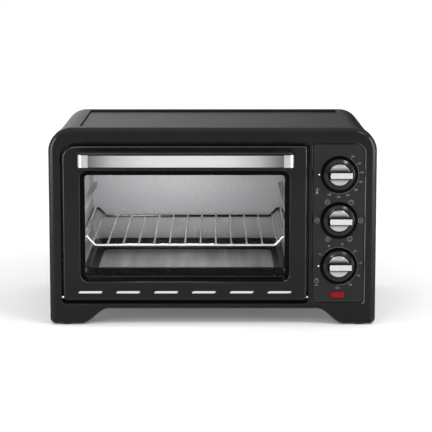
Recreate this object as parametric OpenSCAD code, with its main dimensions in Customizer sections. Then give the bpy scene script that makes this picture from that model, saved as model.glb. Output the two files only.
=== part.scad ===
// Bench-top toaster oven with a drop-down glass door and three dials.
// +X is to the right seen from the front, -Y is the front, +Z is up.
// The origin is on the counter, at the middle of the oven's footprint.

/* [Overall size] */
// Width across the front frame
body_w = 465; // [430:1:560]
// Height from the counter to the top of the front frame
body_h = 283; // [270:1:340]
// Depth from the face of the front frame to the back of the rear panel
case_d = 315; // [280:1:380]

/* [Front frame] */
// Depth of the front frame
frame_d = 25; // [20:0.5:32]
// Width of the frame's left and right bands
side_band = 17; // [14:0.5:22]
// Height of the frame's top band
top_band = 21.5; // [18:0.5:28]
// Height of the lower band's underside above the counter
band_z = 22.7; // [20:0.1:27]
// Height of the lower band's face
band_h = 8.1; // [6:0.1:12]
// Radius of the two upper outer corners
corner_r = 34; // [28:0.5:38]
// Radius of the two lower outer corners
foot_r = 8; // [5:0.5:10]
// Width of each front foot's flat sole
foot_w = 44.9; // [36:0.1:50]
// Width of the curve that rises from a front foot to the arch
arch_w = 38.6; // [25:0.1:45]
// Width of the mullion between the door and the control panel
mullion_w = 5.5; // [4.5:0.1:8]

/* [Door] */
// Thickness of the closed door
door_t = 16; // [15:0.5:20]
// Gap at each side of the door
door_gap = 2.8; // [2:0.1:4]
// Gap under the door
door_gap_bottom = 5; // [4.5:0.1:7]
// Gap above the door
door_gap_top = 4.2; // [3:0.1:6]
// Thickness of the door's outer skin
door_skin = 2; // [1.5:0.1:2.5]
// Thickness of the door's folded rim
door_rim = 1.5; // [1:0.1:2]
// Distance of the hinge axis behind the door's face
hinge_in = 5; // [4.5:0.1:6]
// Height of the hinge axis above the door's lower edge
hinge_up = 3.5; // [3.3:0.1:5]
// Radius of the hinge pins
pin_r = 2; // [1.5:0.1:2.2]
// Thickness of the glass
glass_t = 4; // [3:0.5:5]
// Border between the door's side edges and the window recess
window_side = 24.5; // [20:0.5:40]
// Border between the door's lower edge and the window recess
window_bottom = 26.7; // [22:0.1:40]
// Border between the door's upper edge and the window recess
window_top = 35.3; // [33:0.1:50]
// Width of the dished border inside the window recess
window_lip = 6.8; // [5:0.1:9]
// Number of vent slots under the window
slot_count = 6; // [3:1:7]
// Length of a vent slot
slot_w = 33.5; // [15:0.5:36]
// Height of a vent slot
slot_h = 4.3; // [3:0.1:6]
// Distance from the door's side edges to the outer vent slots
slot_margin = 21.4; // [18:0.1:40]

/* [Handle] */
// Distance that the handle stands out from the door
handle_out = 45; // [40:1:55]
// Height of the handle
handle_h = 24; // [20:0.5:27]
// Thickness of the handle's bar
handle_bar = 20; // [16:0.5:24]
// Width of each handle post
handle_post = 26; // [22:0.5:34]
// Radius of the handle's outer bends
handle_r = 24; // [18:0.5:26]
// Thickness of the handle's metal skin
handle_skin = 2; // [1:0.1:3]
// Distance from a handle end to the seam of its end cap
handle_cap = 15; // [12:0.5:22]

/* [Control panel] */
// Width of the control panel's recess
panel_w = 73.5; // [66:0.5:90]
// Thickness of the control panel
panel_t = 3; // [2:0.5:4]
// Radius of the knobs at the base of the skirt
knob_r = 24.75; // [20:0.25:26]
// Distance from the top of the panel to the upper knob's centre
knob_top = 43.5; // [40:0.5:50]
// Distance from the bottom of the panel to the lower knob's centre
knob_bottom = 53.1; // [48:0.1:60]
// Distance that the grips stand out from the panel
knob_out = 17; // [14:0.5:24]
// Radius of the control shafts
shaft_r = 3; // [2.5:0.1:3.5]
// Width of the indicator lamp's lens
lamp_w = 20; // [14:0.5:24]
// Height of the indicator lamp's lens
lamp_h = 9.5; // [7:0.5:12]

/* [Cabinet] */
// Thickness of the sheet metal
sheet = 0.6; // [0.5:0.1:1.2]
// Depth of the recessed field in the top
top_recess = 2.8; // [1.5:0.1:4]
// Distance from the sides to the recessed field in the top
top_margin = 41; // [36:0.5:60]
// Distance from the rear panel to the recessed field in the top
top_rear = 13; // [8:0.5:40]
// Step from the top of the front frame down to the cabinet's top
cover_drop = 3; // [1.2:0.1:5]
// Distance that the rear spacers stand out
spacer_out = 15; // [8:1:25]
// Radius of the cord inlet's bore
cord_r = 4; // [3:0.1:5]

/* [Oven cavity] */
// Distance between the door opening and the cavity's side walls
cavity_side = 26; // [22:0.5:34]
// Height of the cavity floor above the door opening's lower edge
cavity_floor_up = 14.2; // [13:0.1:22]
// Distance from the door opening's upper edge to the cavity ceiling
cavity_top_down = 21.5; // [15:0.5:30]
// Depth of the cavity
cavity_d = 288; // [250:1:290]
// Radius of the heating rods
heater_r = 3.25; // [2.5:0.05:4]
// Width of the shelf guides
guide_w = 8; // [6:0.5:10]
// Height of the rack's rails above the cavity floor
rack_up = 67; // [55:0.5:110]
// Radius of the rack's rails
rail_r = 1.8; // [1.4:0.1:2.2]
// Number of the rack's cross wires
rack_wires = 13; // [7:1:15]
// Distance from front rail to rear rail
rack_d = 278; // [220:1:280]
// Height of the baking tray's rim above the cavity floor
tray_up = 34; // [31:0.5:45]
// Depth of the baking tray's pan
tray_h = 18; // [10:0.5:20]
// Length of the baking tray from front to back
tray_d = 268; // [200:1:276]

/* [Hidden] */

seat_gap = 0.3;      // clearance between parts that rest near each other
run_gap = 0.05;      // radial clearance of a running fit
cover_in = 1.2;      // step from the frame's sides in to the cover
steps = 12;          // straight pieces in a quarter turn of an outline
$fn = 48;

// Front to back
total_d = handle_out + case_d + spacer_out;
y_front = handle_out - total_d / 2;
y_back = y_front + case_d;
frame_back = y_front + frame_d;
panel_y = y_front + 1;
ledge_y = panel_y + panel_t;
bracket_t = 1.5;

// Door opening and control panel, seen from the front
open_x0 = side_band - body_w / 2;
panel_x1 = body_w / 2 - side_band;
panel_x0 = panel_x1 - panel_w;
open_x1 = panel_x0 - mullion_w;
open_z0 = band_z + band_h;
open_z1 = body_h - top_band;
panel_z0 = open_z0 + 1.2;
panel_z1 = open_z1 - 1.5;
open_radii = [6, 6, 6, 22];
panel_radii = [3, 3, 13.5, 3];
panel_ledge = 5;

// Door
door_x0 = open_x0 + door_gap;
door_x1 = open_x1 - door_gap;
door_z0 = open_z0 + door_gap_bottom;
door_z1 = open_z1 - door_gap_top;
door_radii = [5, 5, 5, 19];
door_back = y_front + door_t;
inner_t = 1.5;
inner_front = door_back - inner_t;
hinge_y = y_front + hinge_in;
hinge_z = door_z0 + hinge_up;
window_x0 = door_x0 + window_side;
window_x1 = door_x1 - window_side;
window_z0 = door_z0 + window_bottom;
window_z1 = door_z1 - window_top;
window_r = 11;
bezel_t = 3;
glass_y = y_front + door_skin + bezel_t;
gasket_y = glass_y + glass_t;
slot_pitch = (door_x1 - door_x0 - 2 * slot_margin - slot_w) / (slot_count - 1);
slot_z = door_z0 + 11.2;
lug_w = 12;
pin_l = 20;
arm_t = 1.5;
arm_r0 = 20;
arm_r1 = 27;
arm_tail = -30;
arm_gap = 2.4;
arm_x = [door_x0 + 10, door_x1 - 10 - arm_t];

// Handle
handle_x0 = door_x0 + 24.4;
handle_x1 = door_x1 - 19.6;
handle_y = y_front - handle_out;
handle_z0 = door_z1 - 28.8;
handle_lip = 3.5;
screw_r = 2;
screw_x = [handle_x0 + handle_post / 2, handle_x1 - handle_post / 2];

// Knobs
knob_x = (panel_x0 + panel_x1) / 2 + 0.65;
knob_pitch = (panel_z1 - panel_z0 - knob_top - knob_bottom) / 2;
knob_z = [for (i = [0:2]) panel_z1 - knob_top - i * knob_pitch];
skirt_h = 6;
disc_h = 1.5;
grip_r = 16.5;
bushing_r = 5;
nut_t = 2;
lamp_z = panel_z0 + 11.2;

// Cabinet
cover_top = body_h - cover_drop;
cover_corner_z = body_h - corner_r - cover_drop + cover_in;
cover_z0 = band_z - 4.7;
floor_t = 0.8;
base_w = body_w / 2 - cover_in - sheet - seat_gap;
flange_h = 12;
cover_screw_y = [frame_back + 25, 20, y_back - 35];
rear_screw_x = body_w / 2 - 45;
gland_x = panel_x0 + 20;
gland_z = 45;
spacer_x = body_w / 2 - 70;

// Cavity
flange_y = door_back + 0.5;
cav_y0 = flange_y + sheet;
cav_y1 = cav_y0 + cavity_d;
cav_x0 = open_x0 + cavity_side;
cav_x1 = open_x1 - cavity_side;
cav_z0 = open_z0 + cavity_floor_up;
cav_z1 = open_z1 - cavity_top_down;
heater_y = [cav_y0 + 75, cav_y1 - 75];
upper_z = cav_z1 - 16;
lower_z = cav_z0 + 7.5;
insulator_l = 8;

// Rack and tray
rail_z = cav_z0 + rack_up;
side_r = 2;
side_z = rail_z + 12;
cross_r = 1.3;
bend_r = 4;
rack_y0 = cav_y0 + 5;
side_x0 = cav_x0 + guide_w / 2;
side_x1 = cav_x1 - guide_w / 2;
leg_x0 = cav_x0 + guide_w + rail_r + 1;
leg_x1 = cav_x1 - guide_w - rail_r - 1;
wire_pitch = (leg_x1 - leg_x0 - 13) / (rack_wires - 1);
rim_z = cav_z0 + tray_up;
rim_t = 1.2;
rim_w = 8;
tray_t = 0.8;
tray_slope = 6;
tray_x0 = cav_x0 + guide_w / 2;
tray_x1 = cav_x1 - guide_w / 2;
tray_y0 = cav_y0 + 4;
guide_t = 4;
guide_z = [rim_z - rim_t - seat_gap, side_z - side_r - seat_gap, side_z + 41];

// Points along an arc from angle a0 to angle a1
function arc(cx, cy, r, a0, a1, n = steps) =
    [for (i = [0:n]) [cx + r * cos(a0 + (a1 - a0) * i / n), cy + r * sin(a0 + (a1 - a0) * i / n)]];

// Rounded rectangle, with its own radius at each corner, from the lower left one round
function box_outline(x0, z0, x1, z1, r) = concat(
    arc(x0 + r[0], z0 + r[0], r[0], 180, 270),
    arc(x1 - r[1], z0 + r[1], r[1], 270, 360),
    arc(x1 - r[2], z1 - r[2], r[2], 0, 90),
    arc(x0 + r[3], z1 - r[3], r[3], 90, 180));

// Height at which the curved edge of a closed hinge arm, of radius r, passes the plane at y
function arm_height(r, y) = hinge_z + sqrt(r * r - (y - hinge_y) * (y - hinge_y));

function grown(r, by) = [for (v = r) v + by];
function even(r) = [r, r, r, r];

// Outlines shared by the parts that meet there
function door_opening() = box_outline(open_x0, open_z0, open_x1, open_z1, open_radii);
function door_outline(d) =
    box_outline(door_x0 + d, door_z0 + d, door_x1 - d, door_z1 - d, grown(door_radii, -d));
function window_outline(d) =
    box_outline(window_x0 - d, window_z0 - d, window_x1 + d, window_z1 + d, even(window_r + d));
function panel_outline(d) =
    box_outline(panel_x0 + d, panel_z0 + d, panel_x1 - d, panel_z1 - d,
        [for (v = panel_radii) max(1, v - d)]);

// Rise of the arch between the front feet, from 0 at the sole to 1 at the top
function rise(t) = (1 - cos(180 * t)) / 2;
pad_out = 1;
function frame_outline() = concat(
    [for (i = [0:2 * steps])
        [body_w / 2 - foot_w - arch_w * (1 - i / (2 * steps)),
            band_z - (band_z - pad_out) * rise(i / (2 * steps))]],
    arc(body_w / 2 - foot_r, pad_out + foot_r, foot_r, 270, 360),
    arc(body_w / 2 - corner_r, body_h - corner_r, corner_r, 0, 90),
    arc(corner_r - body_w / 2, body_h - corner_r, corner_r, 90, 180),
    arc(foot_r - body_w / 2, pad_out + foot_r, foot_r, 180, 270),
    [for (i = [0:2 * steps])
        [foot_w + arch_w * i / (2 * steps) - body_w / 2,
            pad_out + (band_z - pad_out) * rise(i / (2 * steps))]]);

// Outline of the cabinet, a distance d inside the frame's, open at height z
function cabinet_outline(d, z) = concat(
    [[body_w / 2 - d, z]],
    arc(body_w / 2 - corner_r, cover_corner_z, corner_r - d, 0, 90),
    arc(corner_r - body_w / 2, cover_corner_z, corner_r - d, 90, 180),
    [[d - body_w / 2, z]]);

// Handle seen from above, with its outer face moved in by d
function handle_outline(d) = concat(
    [[handle_x0 + d, y_front]],
    arc(handle_x0 + handle_r, handle_y + handle_r, handle_r - d, 180, 270),
    arc(handle_x1 - handle_r, handle_y + handle_r, handle_r - d, 270, 360),
    [[handle_x1 - d, y_front], [handle_x1 - handle_post, y_front]],
    arc(handle_x1 - handle_post - 10, handle_y + handle_bar + 10, 10, 0, -90),
    arc(handle_x0 + handle_post + 10, handle_y + handle_bar + 10, 10, -90, -180),
    [[handle_x0 + handle_post, y_front]]);

// Prism with its outline in the XZ plane, from y0 back to y1
module slab(points, y0, y1) {
    translate([0, y1, 0]) rotate([90, 0, 0]) linear_extrude(y1 - y0) polygon(points);
}

// Prism with its outline in the YZ plane, from x0 to x1
module side_slab(points, x0, x1) {
    translate([x0, 0, 0]) rotate([90, 0, 90]) linear_extrude(x1 - x0) polygon(points);
}

module block(x0, x1, y0, y1, z0, z1) {
    translate([x0, y0, z0]) cube([x1 - x0, y1 - y0, z1 - z0]);
}

// Cylinder along X, Y or Z from its lower end
module rod_x(x0, x1, y, z, r) {
    translate([x0, y, z]) rotate([0, 90, 0]) cylinder(h = x1 - x0, r = r);
}
module rod_y(y0, y1, x, z, r) {
    translate([x, y1, z]) rotate([90, 0, 0]) cylinder(h = y1 - y0, r = r);
}
module rod_z(z0, z1, x, y, r) {
    translate([x, y, z0]) cylinder(h = z1 - z0, r = r);
}

// ---- cabinet ----

pad_r = 9;
pad_h = 4;
front_pad_x = body_w / 2 - foot_w / 2 - 1;
rear_foot_y = y_back - 30;

module front_frame() {
    color("dimgray") difference() {
        slab(frame_outline(), y_front, frame_back);
        slab(door_opening(), y_front - 1, frame_back + 1);
        slab(panel_outline(0), y_front - 1, ledge_y);
        slab(panel_outline(panel_ledge), y_front - 1, frame_back + 1);
        frame_hollows();
        for (s = [-1, 1])
            rod_z(0, pad_h + seat_gap, s * front_pad_x, y_front + frame_d / 2, pad_r + seat_gap);
        rod_x(open_x0 - pin_l / 2, open_x0 + 1, hinge_y, hinge_z, pin_r + run_gap);
        rod_x(open_x1 - 1, open_x1 + mullion_w - 1, hinge_y, hinge_z, pin_r + run_gap);
        for (x = arm_x)
            block(x - 1, x + arm_t + 1, flange_y - 4, frame_back + 1, band_z + floor_t + 0.5, open_z0 + 1);
    }
}

// Hollows behind the face of the left, right and top bands
module frame_hollows() {
    wall = 2.5;
    y0 = y_front + wall;
    z0 = hinge_z + 12;
    z1 = body_h - corner_r;
    block(wall - body_w / 2, open_x0 - wall, y0, frame_back + 1, z0, z1);
    block(panel_x1 + wall, body_w / 2 - wall, y0, frame_back + 1, z0, z1);
    block(corner_r - body_w / 2, body_w / 2 - corner_r, y0, frame_back + 1, open_z1 + wall, body_h - wall);
}

module control_panel() {
    color("darkslategray") difference() {
        slab(panel_outline(seat_gap), panel_y, ledge_y);
        for (z = knob_z)
            rod_y(panel_y - 1, ledge_y + 1, knob_x, z, shaft_r + 1);
        slab(lamp_outline(0.2), panel_y - 1, ledge_y + 1);
    }
}

module outer_cover() {
    y1 = y_back - sheet;
    x_in = body_w / 2 - top_margin;
    z_in = cover_top - top_recess;
    y_in = y1 - top_rear;
    color("slategray") difference() {
        union() {
            difference() {
                slab(cabinet_outline(cover_in, cover_z0), frame_back, y1);
                slab(cabinet_outline(cover_in + sheet, cover_z0 - 1), frame_back - 1, y1 - sheet);
                slab(cabinet_outline(cover_in + 11, cover_z0 - 1), frame_back - 1, y1 + 1);
                block(-x_in, x_in, frame_back - 1, y_in, z_in, body_h);
            }
            difference() {
                block(-x_in - sheet, x_in + sheet, frame_back, y_in + sheet, z_in - sheet, cover_top);
                block(-x_in, x_in, frame_back - 1, y_in, z_in, body_h);
            }
        }
        for (i = [0:9])
            block(body_w / 2 - 12, body_w / 2, frame_back + 60 + 12 * i, frame_back + 64 + 12 * i, 90, 150);
        for (y = cover_screw_y)
            rod_x(-body_w, body_w, y, band_z + 8, 1.6);
        rear_screw_holes();
    }
}

module rear_screw_holes() {
    for (s = [-1, 1], z = [50, body_h / 2, body_h - 40])
        rod_y(y_back - 20, y_back + 1, s * (body_w / 2 - 7.5), z, 1.6);
}

module rear_panel() {
    color("gray") difference() {
        slab(cabinet_outline(cover_in, cover_z0), y_back - sheet, y_back);
        rear_screw_holes();
        rod_y(y_back - 2, y_back + 1, gland_x, gland_z, cord_r + 3.2);
        for (i = [0:7], j = [0, 1])
            block(-110 + 28 * i, -90 + 28 * i, y_back - 2, y_back + 1, 180 + 14 * j, 184 + 14 * j);
        for (i = [0:5])
            block(gland_x - 5 + 9 * i, gland_x - 1 + 9 * i, y_back - 2, y_back + 1, 110, 150);
    }
}

module base_plate() {
    z0 = band_z;
    color("silver") difference() {
        union() {
            block(-base_w, base_w, frame_back, y_back - 2 * sheet, z0, z0 + floor_t);
            for (s = [0, 1])
                mirror([s, 0, 0])
                    block(base_w - sheet, base_w, frame_back, y_back - 15, z0, z0 + flange_h);
        }
        for (y = cover_screw_y)
            rod_x(-body_w, body_w, y, band_z + 8, 1.6);
        for (i = [0:7], j = [0, 1])
            block(-130 + 26 * i, -112 + 26 * i, 60 + 16 * j, 64 + 16 * j, z0 - 1, z0 + floor_t + 1);
    }
}

module foot_pads() {
    color("black") for (s = [-1, 1]) {
        rod_z(0, pad_h, s * front_pad_x, y_front + frame_d / 2, pad_r);
        rod_z(0, 3, s * (front_pad_x - 20), rear_foot_y, pad_r + 2);
    }
}

module rear_feet() {
    color("black") for (s = [-1, 1])
        translate([s * (front_pad_x - 20), rear_foot_y, 3]) rotate_extrude()
            polygon([[0, 0], [pad_r + 4, 0], [pad_r + 8, band_z - 3], [0, band_z - 3]]);
}

module rear_spacers() {
    color("black") for (s = [-1, 1], z = [80, 225])
        translate([s * spacer_x, y_back, z]) rotate([-90, 0, 0])
            rotate_extrude() polygon([[0, 0], [13, 0], [13, 2], [7, 4], [7, spacer_out], [0, spacer_out]]);
}

module cord_gland() {
    color("black") translate([gland_x, y_back, gland_z]) rotate([-90, 0, 0])
        rotate_extrude() polygon([[cord_r, -7], [cord_r + 4.5, -7], [cord_r + 4.5, -sheet - seat_gap],
            [cord_r + 3, -sheet - seat_gap], [cord_r + 3, 0], [cord_r + 6, 0], [cord_r + 6, 2],
            [cord_r + 3, 9], [cord_r, 9]]);
}

module cover_screws() {
    color("silver") for (s = [0, 1], y = cover_screw_y)
        mirror([s, 0, 0]) {
            rod_x(body_w / 2 - cover_in, body_w / 2 - 0.1, y, band_z + 8, 3.5);
            rod_x(body_w / 2 - 9, body_w / 2 - cover_in + 0.1, y, band_z + 8, 1.5);
        }
}

module rear_screws() {
    color("silver") for (s = [-1, 1], z = [50, body_h / 2, body_h - 40]) {
        rod_y(y_back, y_back + 1.6, s * (body_w / 2 - 7.5), z, 3.5);
        rod_y(y_back - 8, y_back + 0.1, s * (body_w / 2 - 7.5), z, 1.5);
    }
}

// ---- oven cavity ----

module cavity_front() {
    color("gray") difference() {
        slab(door_opening(), flange_y, cav_y0);
        block(cav_x0, cav_x1, flange_y - 1, cav_y0 + 1, cav_z0, cav_z1);
        for (x = arm_x)
            block(x - 0.8, x + arm_t + 0.8, flange_y - 1, cav_y0 + 1,
                arm_height(arm_r0, cav_y0) - arm_gap, arm_height(arm_r1, flange_y) + arm_gap);
    }
}

module cavity_floor() {
    color("silver") block(cav_x0, cav_x1, cav_y0, cav_y1, cav_z0 - sheet, cav_z0);
}

module cavity_ceiling() {
    color("silver") block(cav_x0, cav_x1, cav_y0, cav_y1, cav_z1, cav_z1 + sheet);
}

module cavity_back() {
    color("silver") block(cav_x0 - sheet, cav_x1 + sheet, cav_y1, cav_y1 + sheet, cav_z0 - sheet, cav_z1 + sheet);
}

// Side wall with its shelf guides; the wall's inner face is at x, and s points into the cavity
module cavity_wall(x, s) {
    difference() {
        union() {
            block(min(x, x - s * sheet), max(x, x - s * sheet), cav_y0, cav_y1, cav_z0 - sheet, cav_z1 + sheet);
            for (z = guide_z)
                block(min(x, x + s * guide_w), max(x, x + s * guide_w), cav_y0 + 2, cav_y1 - 2, z - guide_t, z);
        }
        for (y = heater_y, z = [lower_z, upper_z])
            rod_x(x - 3, x + 3, y, z, heater_r + seat_gap);
    }
}

module cavity_side_left() {
    color("silver") cavity_wall(cav_x0, 1);
}

module cavity_side_right() {
    color("silver") cavity_wall(cav_x1, -1);
}

module heaters(z) {
    for (y = heater_y)
        rod_x(cav_x0 - sheet - insulator_l - 4, cav_x1 + sheet + insulator_l + 4, y, z, heater_r);
}

module upper_heaters() {
    color("dimgray") heaters(upper_z);
}

module lower_heaters() {
    color("dimgray") heaters(lower_z);
}

module heater_insulators() {
    color("white") for (y = heater_y, z = [lower_z, upper_z], x = [cav_x0 - sheet - insulator_l, cav_x1 + sheet])
        difference() {
            rod_x(x, x + insulator_l, y, z, heater_r + 3.5);
            rod_x(x - 1, x + insulator_l + 1, y, z, heater_r + run_gap);
        }
}

// ---- control compartment ----

module compartment_shield() {
    color("silver") block(open_x1 + 1.5, open_x1 + 1.5 + sheet, frame_back, y_back - 2 * sheet,
        band_z + floor_t, cover_top - top_recess - 2 * sheet);
}

module control_bracket() {
    color("silver") difference() {
        block(panel_x0 - 2, body_w / 2 - 8, frame_back, frame_back + bracket_t, open_z0 - 5, open_z1 - 3);
        for (z = knob_z)
            rod_y(frame_back - 1, frame_back + bracket_t + 1, knob_x, z, bushing_r + 0.2);
    }
}

// Threaded bushing in front of a control, with the shaft's bore
module control_body(i) {
    y0 = frame_back + bracket_t;
    difference() {
        union() {
            children();
            rod_y(frame_back - 4, y0 + 0.1, knob_x, knob_z[i], bushing_r);
        }
        rod_y(frame_back - 6, y0 + 8, knob_x, knob_z[i], shaft_r + run_gap);
    }
}

module thermostat() {
    y0 = frame_back + bracket_t;
    color("tan") control_body(0) {
        block(knob_x - 18, knob_x + 18, y0, y0 + 24, knob_z[0] - 17, knob_z[0] + 17);
        block(knob_x - 6, knob_x + 6, y0 + 24, y0 + 30, knob_z[0] - 12, knob_z[0] + 12);
    }
}

module function_switch() {
    y0 = frame_back + bracket_t;
    color("darkgray") control_body(1) {
        rod_y(y0, y0 + 22, knob_x, knob_z[1], 20);
        block(knob_x - 10, knob_x + 10, y0 + 22, y0 + 28, knob_z[1] - 14, knob_z[1] + 14);
    }
}

module timer_mechanism() {
    y0 = frame_back + bracket_t;
    color("lightgray") control_body(2) {
        block(knob_x - 25, knob_x + 25, y0, y0 + 34, knob_z[2] - 25, knob_z[2] + 25);
        rod_y(y0 + 33, y0 + 39.5, knob_x, knob_z[2], 4);
    }
}

module timer_bell() {
    y1 = frame_back + bracket_t + 40;
    color("gold") translate([knob_x, y1, knob_z[2]]) rotate([-90, 0, 0])
        rotate_extrude() polygon([[0, 0], [12, 0], [20, 4], [22, 10], [21, 10], [19, 5], [11.5, 1.2], [0, 1.2]]);
}

module control_nuts() {
    color("silver") for (z = knob_z)
        translate([knob_x, frame_back, z]) rotate([90, 0, 0]) difference() {
            cylinder(h = nut_t, r = 8.5, $fn = 6);
            translate([0, 0, -1]) cylinder(h = nut_t + 2, r = bushing_r + run_gap);
        }
}

function lamp_outline(d) = box_outline(knob_x - 1.4 - lamp_w / 2 - d, lamp_z - lamp_h / 2 - d,
    knob_x - 1.4 + lamp_w / 2 + d, lamp_z + lamp_h / 2 + d, even(2.5 + d));

module lamp_lens() {
    color("red") slab(lamp_outline(0), panel_y - 0.8, ledge_y);
}

module lamp_holder() {
    color("ivory") difference() {
        slab(lamp_outline(-0.6), ledge_y, frame_back - 5);
        slab(lamp_outline(-2), ledge_y - 1, frame_back - 7);
    }
}

module terminal_block() {
    z0 = band_z + floor_t;
    color("ivory") difference() {
        block(gland_x, gland_x + 48, y_back - 62, y_back - 42, z0, z0 + 16);
        for (i = [0:2])
            rod_z(z0 + 10, z0 + 17, gland_x + 8 + 16 * i, y_back - 52, 3);
    }
}

// ---- door ----

module hinge_pins() {
    color("silver") {
        rod_x(open_x0 - pin_l / 2 + 1, door_x0 + pin_l / 2, hinge_y, hinge_z, pin_r);
        rod_x(door_x1 - pin_l / 2, open_x1 + mullion_w - 1.5, hinge_y, hinge_z, pin_r);
    }
}

// Vent slot with slanted ends, its lower left corner at x
function slot_outline(x) = [[x, slot_z - slot_h / 2], [x + slot_w - 3, slot_z - slot_h / 2],
    [x + slot_w - 1, slot_z - slot_h / 2 + 1], [x + slot_w, slot_z + slot_h / 2],
    [x + 3, slot_z + slot_h / 2]];

module door_panel() {
    color("#2c2c2e") difference() {
        slab(door_outline(0), y_front, inner_front);
        slab(door_outline(door_rim), y_front + door_skin, inner_front + 1);
        slab(window_outline(0), y_front - 1, inner_front);
        for (i = [0:slot_count - 1])
            slab(slot_outline(door_x0 + slot_margin + i * slot_pitch), y_front - 1, y_front + door_skin + 1);
        rod_x(door_x0 - 1, door_x1 + 1, hinge_y, hinge_z, pin_r + seat_gap);
        for (x = screw_x)
            rod_y(y_front - 1, y_front + door_skin + 1, x, handle_z0 + handle_h / 2, screw_r + 0.2);
    }
}

module window_bezel() {
    color("#151517") difference() {
        slab(window_outline(4), y_front + door_skin, glass_y);
        slab(window_outline(-window_lip), y_front, glass_y + 1);
    }
}

module door_glass() {
    color("#a8b4b4", 0.4) slab(window_outline(1), glass_y, gasket_y);
}

module glass_gasket() {
    color("#303030") difference() {
        slab(window_outline(1), gasket_y, inner_front);
        slab(window_outline(1 - window_lip), gasket_y - 1, inner_front + 1);
    }
}

module door_inner_plate() {
    inset = 0.5;
    color("silver") difference() {
        slab(box_outline(door_x0 + inset, door_z0 + 2.2, door_x1 - inset, door_z1 - inset,
            grown(door_radii, -inset)), inner_front, door_back);
        slab(window_outline(2 - window_lip), inner_front - 1, door_back + 1);
        for (x = arm_x)
            block(x - 0.5, x + arm_t + 0.5, inner_front - 1, door_back + 1,
                arm_height(arm_r0, door_back) - 1.2, arm_height(arm_r1, inner_front) + 1.2);
    }
}

// Lug that turns on a hinge pin, with the arm that runs through the cavity's front
module hinge_arm(x_lug, x_arm) {
    start = acos((door_t - hinge_in) / arm_r1) - 6;
    difference() {
        union() {
            block(x_lug, x_lug + lug_w, y_front + door_skin, inner_front, door_z0 + door_rim, door_z0 + 16);
            side_slab(concat(arc(hinge_y, hinge_z, arm_r1, arm_tail, start),
                [[inner_front - 4, hinge_z + 24], [inner_front - 4, hinge_z + 12]],
                arc(hinge_y, hinge_z, arm_r0, start, arm_tail)), x_arm, x_arm + arm_t);
            block(x_arm, x_arm + arm_t, inner_front - 6, inner_front, door_z0 + 12, hinge_z + 24);
        }
        rod_x(x_lug - 1, x_lug + lug_w + 1, hinge_y, hinge_z, pin_r + run_gap);
    }
}

module hinge_arms() {
    color("silver") {
        hinge_arm(door_x0 + door_radii[0], arm_x[0]);
        hinge_arm(door_x1 - door_radii[1] - lug_w, arm_x[1]);
    }
}

// ---- handle ----

module handle_slab(d, z0, z1) {
    translate([0, 0, z0]) linear_extrude(z1 - z0) polygon(handle_outline(d));
}

module seam_box() {
    block(handle_x0 + handle_cap, handle_x1 - handle_cap, handle_y - 1, handle_y + 15, 0, body_h);
}

module handle_body() {
    z1 = handle_z0 + handle_h;
    color("#1c1c1e") difference() {
        union() {
            handle_slab(handle_skin, handle_z0, z1);
            intersection() {
                union() {
                    handle_slab(0, handle_z0, handle_z0 + handle_lip);
                    handle_slab(0, z1 - handle_lip, z1);
                }
                seam_box();
            }
        }
        for (x = screw_x)
            rod_y(y_front - 18, y_front + 1, x, handle_z0 + handle_h / 2, screw_r + run_gap);
    }
}

module handle_trim() {
    color("silver") intersection() {
        difference() {
            handle_slab(0, handle_z0 + handle_lip, handle_z0 + handle_h - handle_lip);
            handle_slab(handle_skin, handle_z0, handle_z0 + handle_h);
        }
        seam_box();
    }
}

module handle_caps() {
    color("gainsboro") difference() {
        handle_slab(0, handle_z0, handle_z0 + handle_h);
        handle_slab(handle_skin, handle_z0 - 1, handle_z0 + handle_h + 1);
        block(handle_x0 + handle_cap, handle_x1 - handle_cap, handle_y - 1, y_front + 1, 0, body_h);
    }
}

module handle_screws() {
    color("silver") for (x = screw_x) {
        rod_y(y_front - 16, y_front + door_skin + 0.1, x, handle_z0 + handle_h / 2, screw_r);
        rod_y(y_front + door_skin, y_front + door_skin + 2.6, x, handle_z0 + handle_h / 2, 4);
    }
}

// ---- knobs ----

// Puts a knob part in front of the panel, with its own +Z pointing at the user
module on_panel(i) {
    translate([knob_x, panel_y, knob_z[i]]) rotate([90, 0, 0]) children();
}

module knob_skirt(i) {
    color("#101012") on_panel(i) rotate_extrude()
        polygon([[shaft_r + run_gap, 0.4], [knob_r, 0.4], [knob_r, 2], [19, skirt_h - 1.2], [17.8, skirt_h],
            [shaft_r + run_gap, skirt_h]]);
}

module knob_grip(i) {
    half = 4.6;
    color("gainsboro") on_panel(i) difference() {
        union() {
            translate([0, 0, skirt_h]) cylinder(h = disc_h, r = grip_r);
            translate([0, 0, skirt_h + disc_h - 0.1])
                linear_extrude(knob_out - skirt_h - disc_h + 0.1)
                    polygon([[-grip_r - 0.6, 0], [3.2 - grip_r, -half], [grip_r + 0.8, -half],
                        [grip_r + 2.2, 1.4 - half], [grip_r + 2.2, half - 1.4], [grip_r + 0.8, half],
                        [3.2 - grip_r, half]]);
        }
        translate([0, 0, skirt_h - 1]) cylinder(h = 8, r = shaft_r + run_gap);
    }
}

module knob_shaft(i) {
    color("silver") on_panel(i)
        translate([0, 0, panel_y - frame_back - bracket_t - 6])
            cylinder(h = frame_back + bracket_t + 6 - panel_y + skirt_h + 6, r = shaft_r);
}

module temperature_skirt() {
    knob_skirt(0);
}
module temperature_grip() {
    knob_grip(0);
}
module temperature_shaft() {
    knob_shaft(0);
}
module function_skirt() {
    knob_skirt(1);
}
module function_grip() {
    knob_grip(1);
}
module function_shaft() {
    knob_shaft(1);
}
module timer_skirt() {
    knob_skirt(2);
}
module timer_grip() {
    knob_grip(2);
}
module timer_shaft() {
    knob_shaft(2);
}

// ---- rack and tray ----

// Quarter bend in the XZ plane about (x, z), starting at angle a
module bend(x, y, z, a) {
    translate([x, y, z]) rotate([90, 0, 0]) rotate([0, 0, a])
        rotate_extrude(angle = 90) translate([bend_r, 0]) circle(r = rail_r);
}

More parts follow.
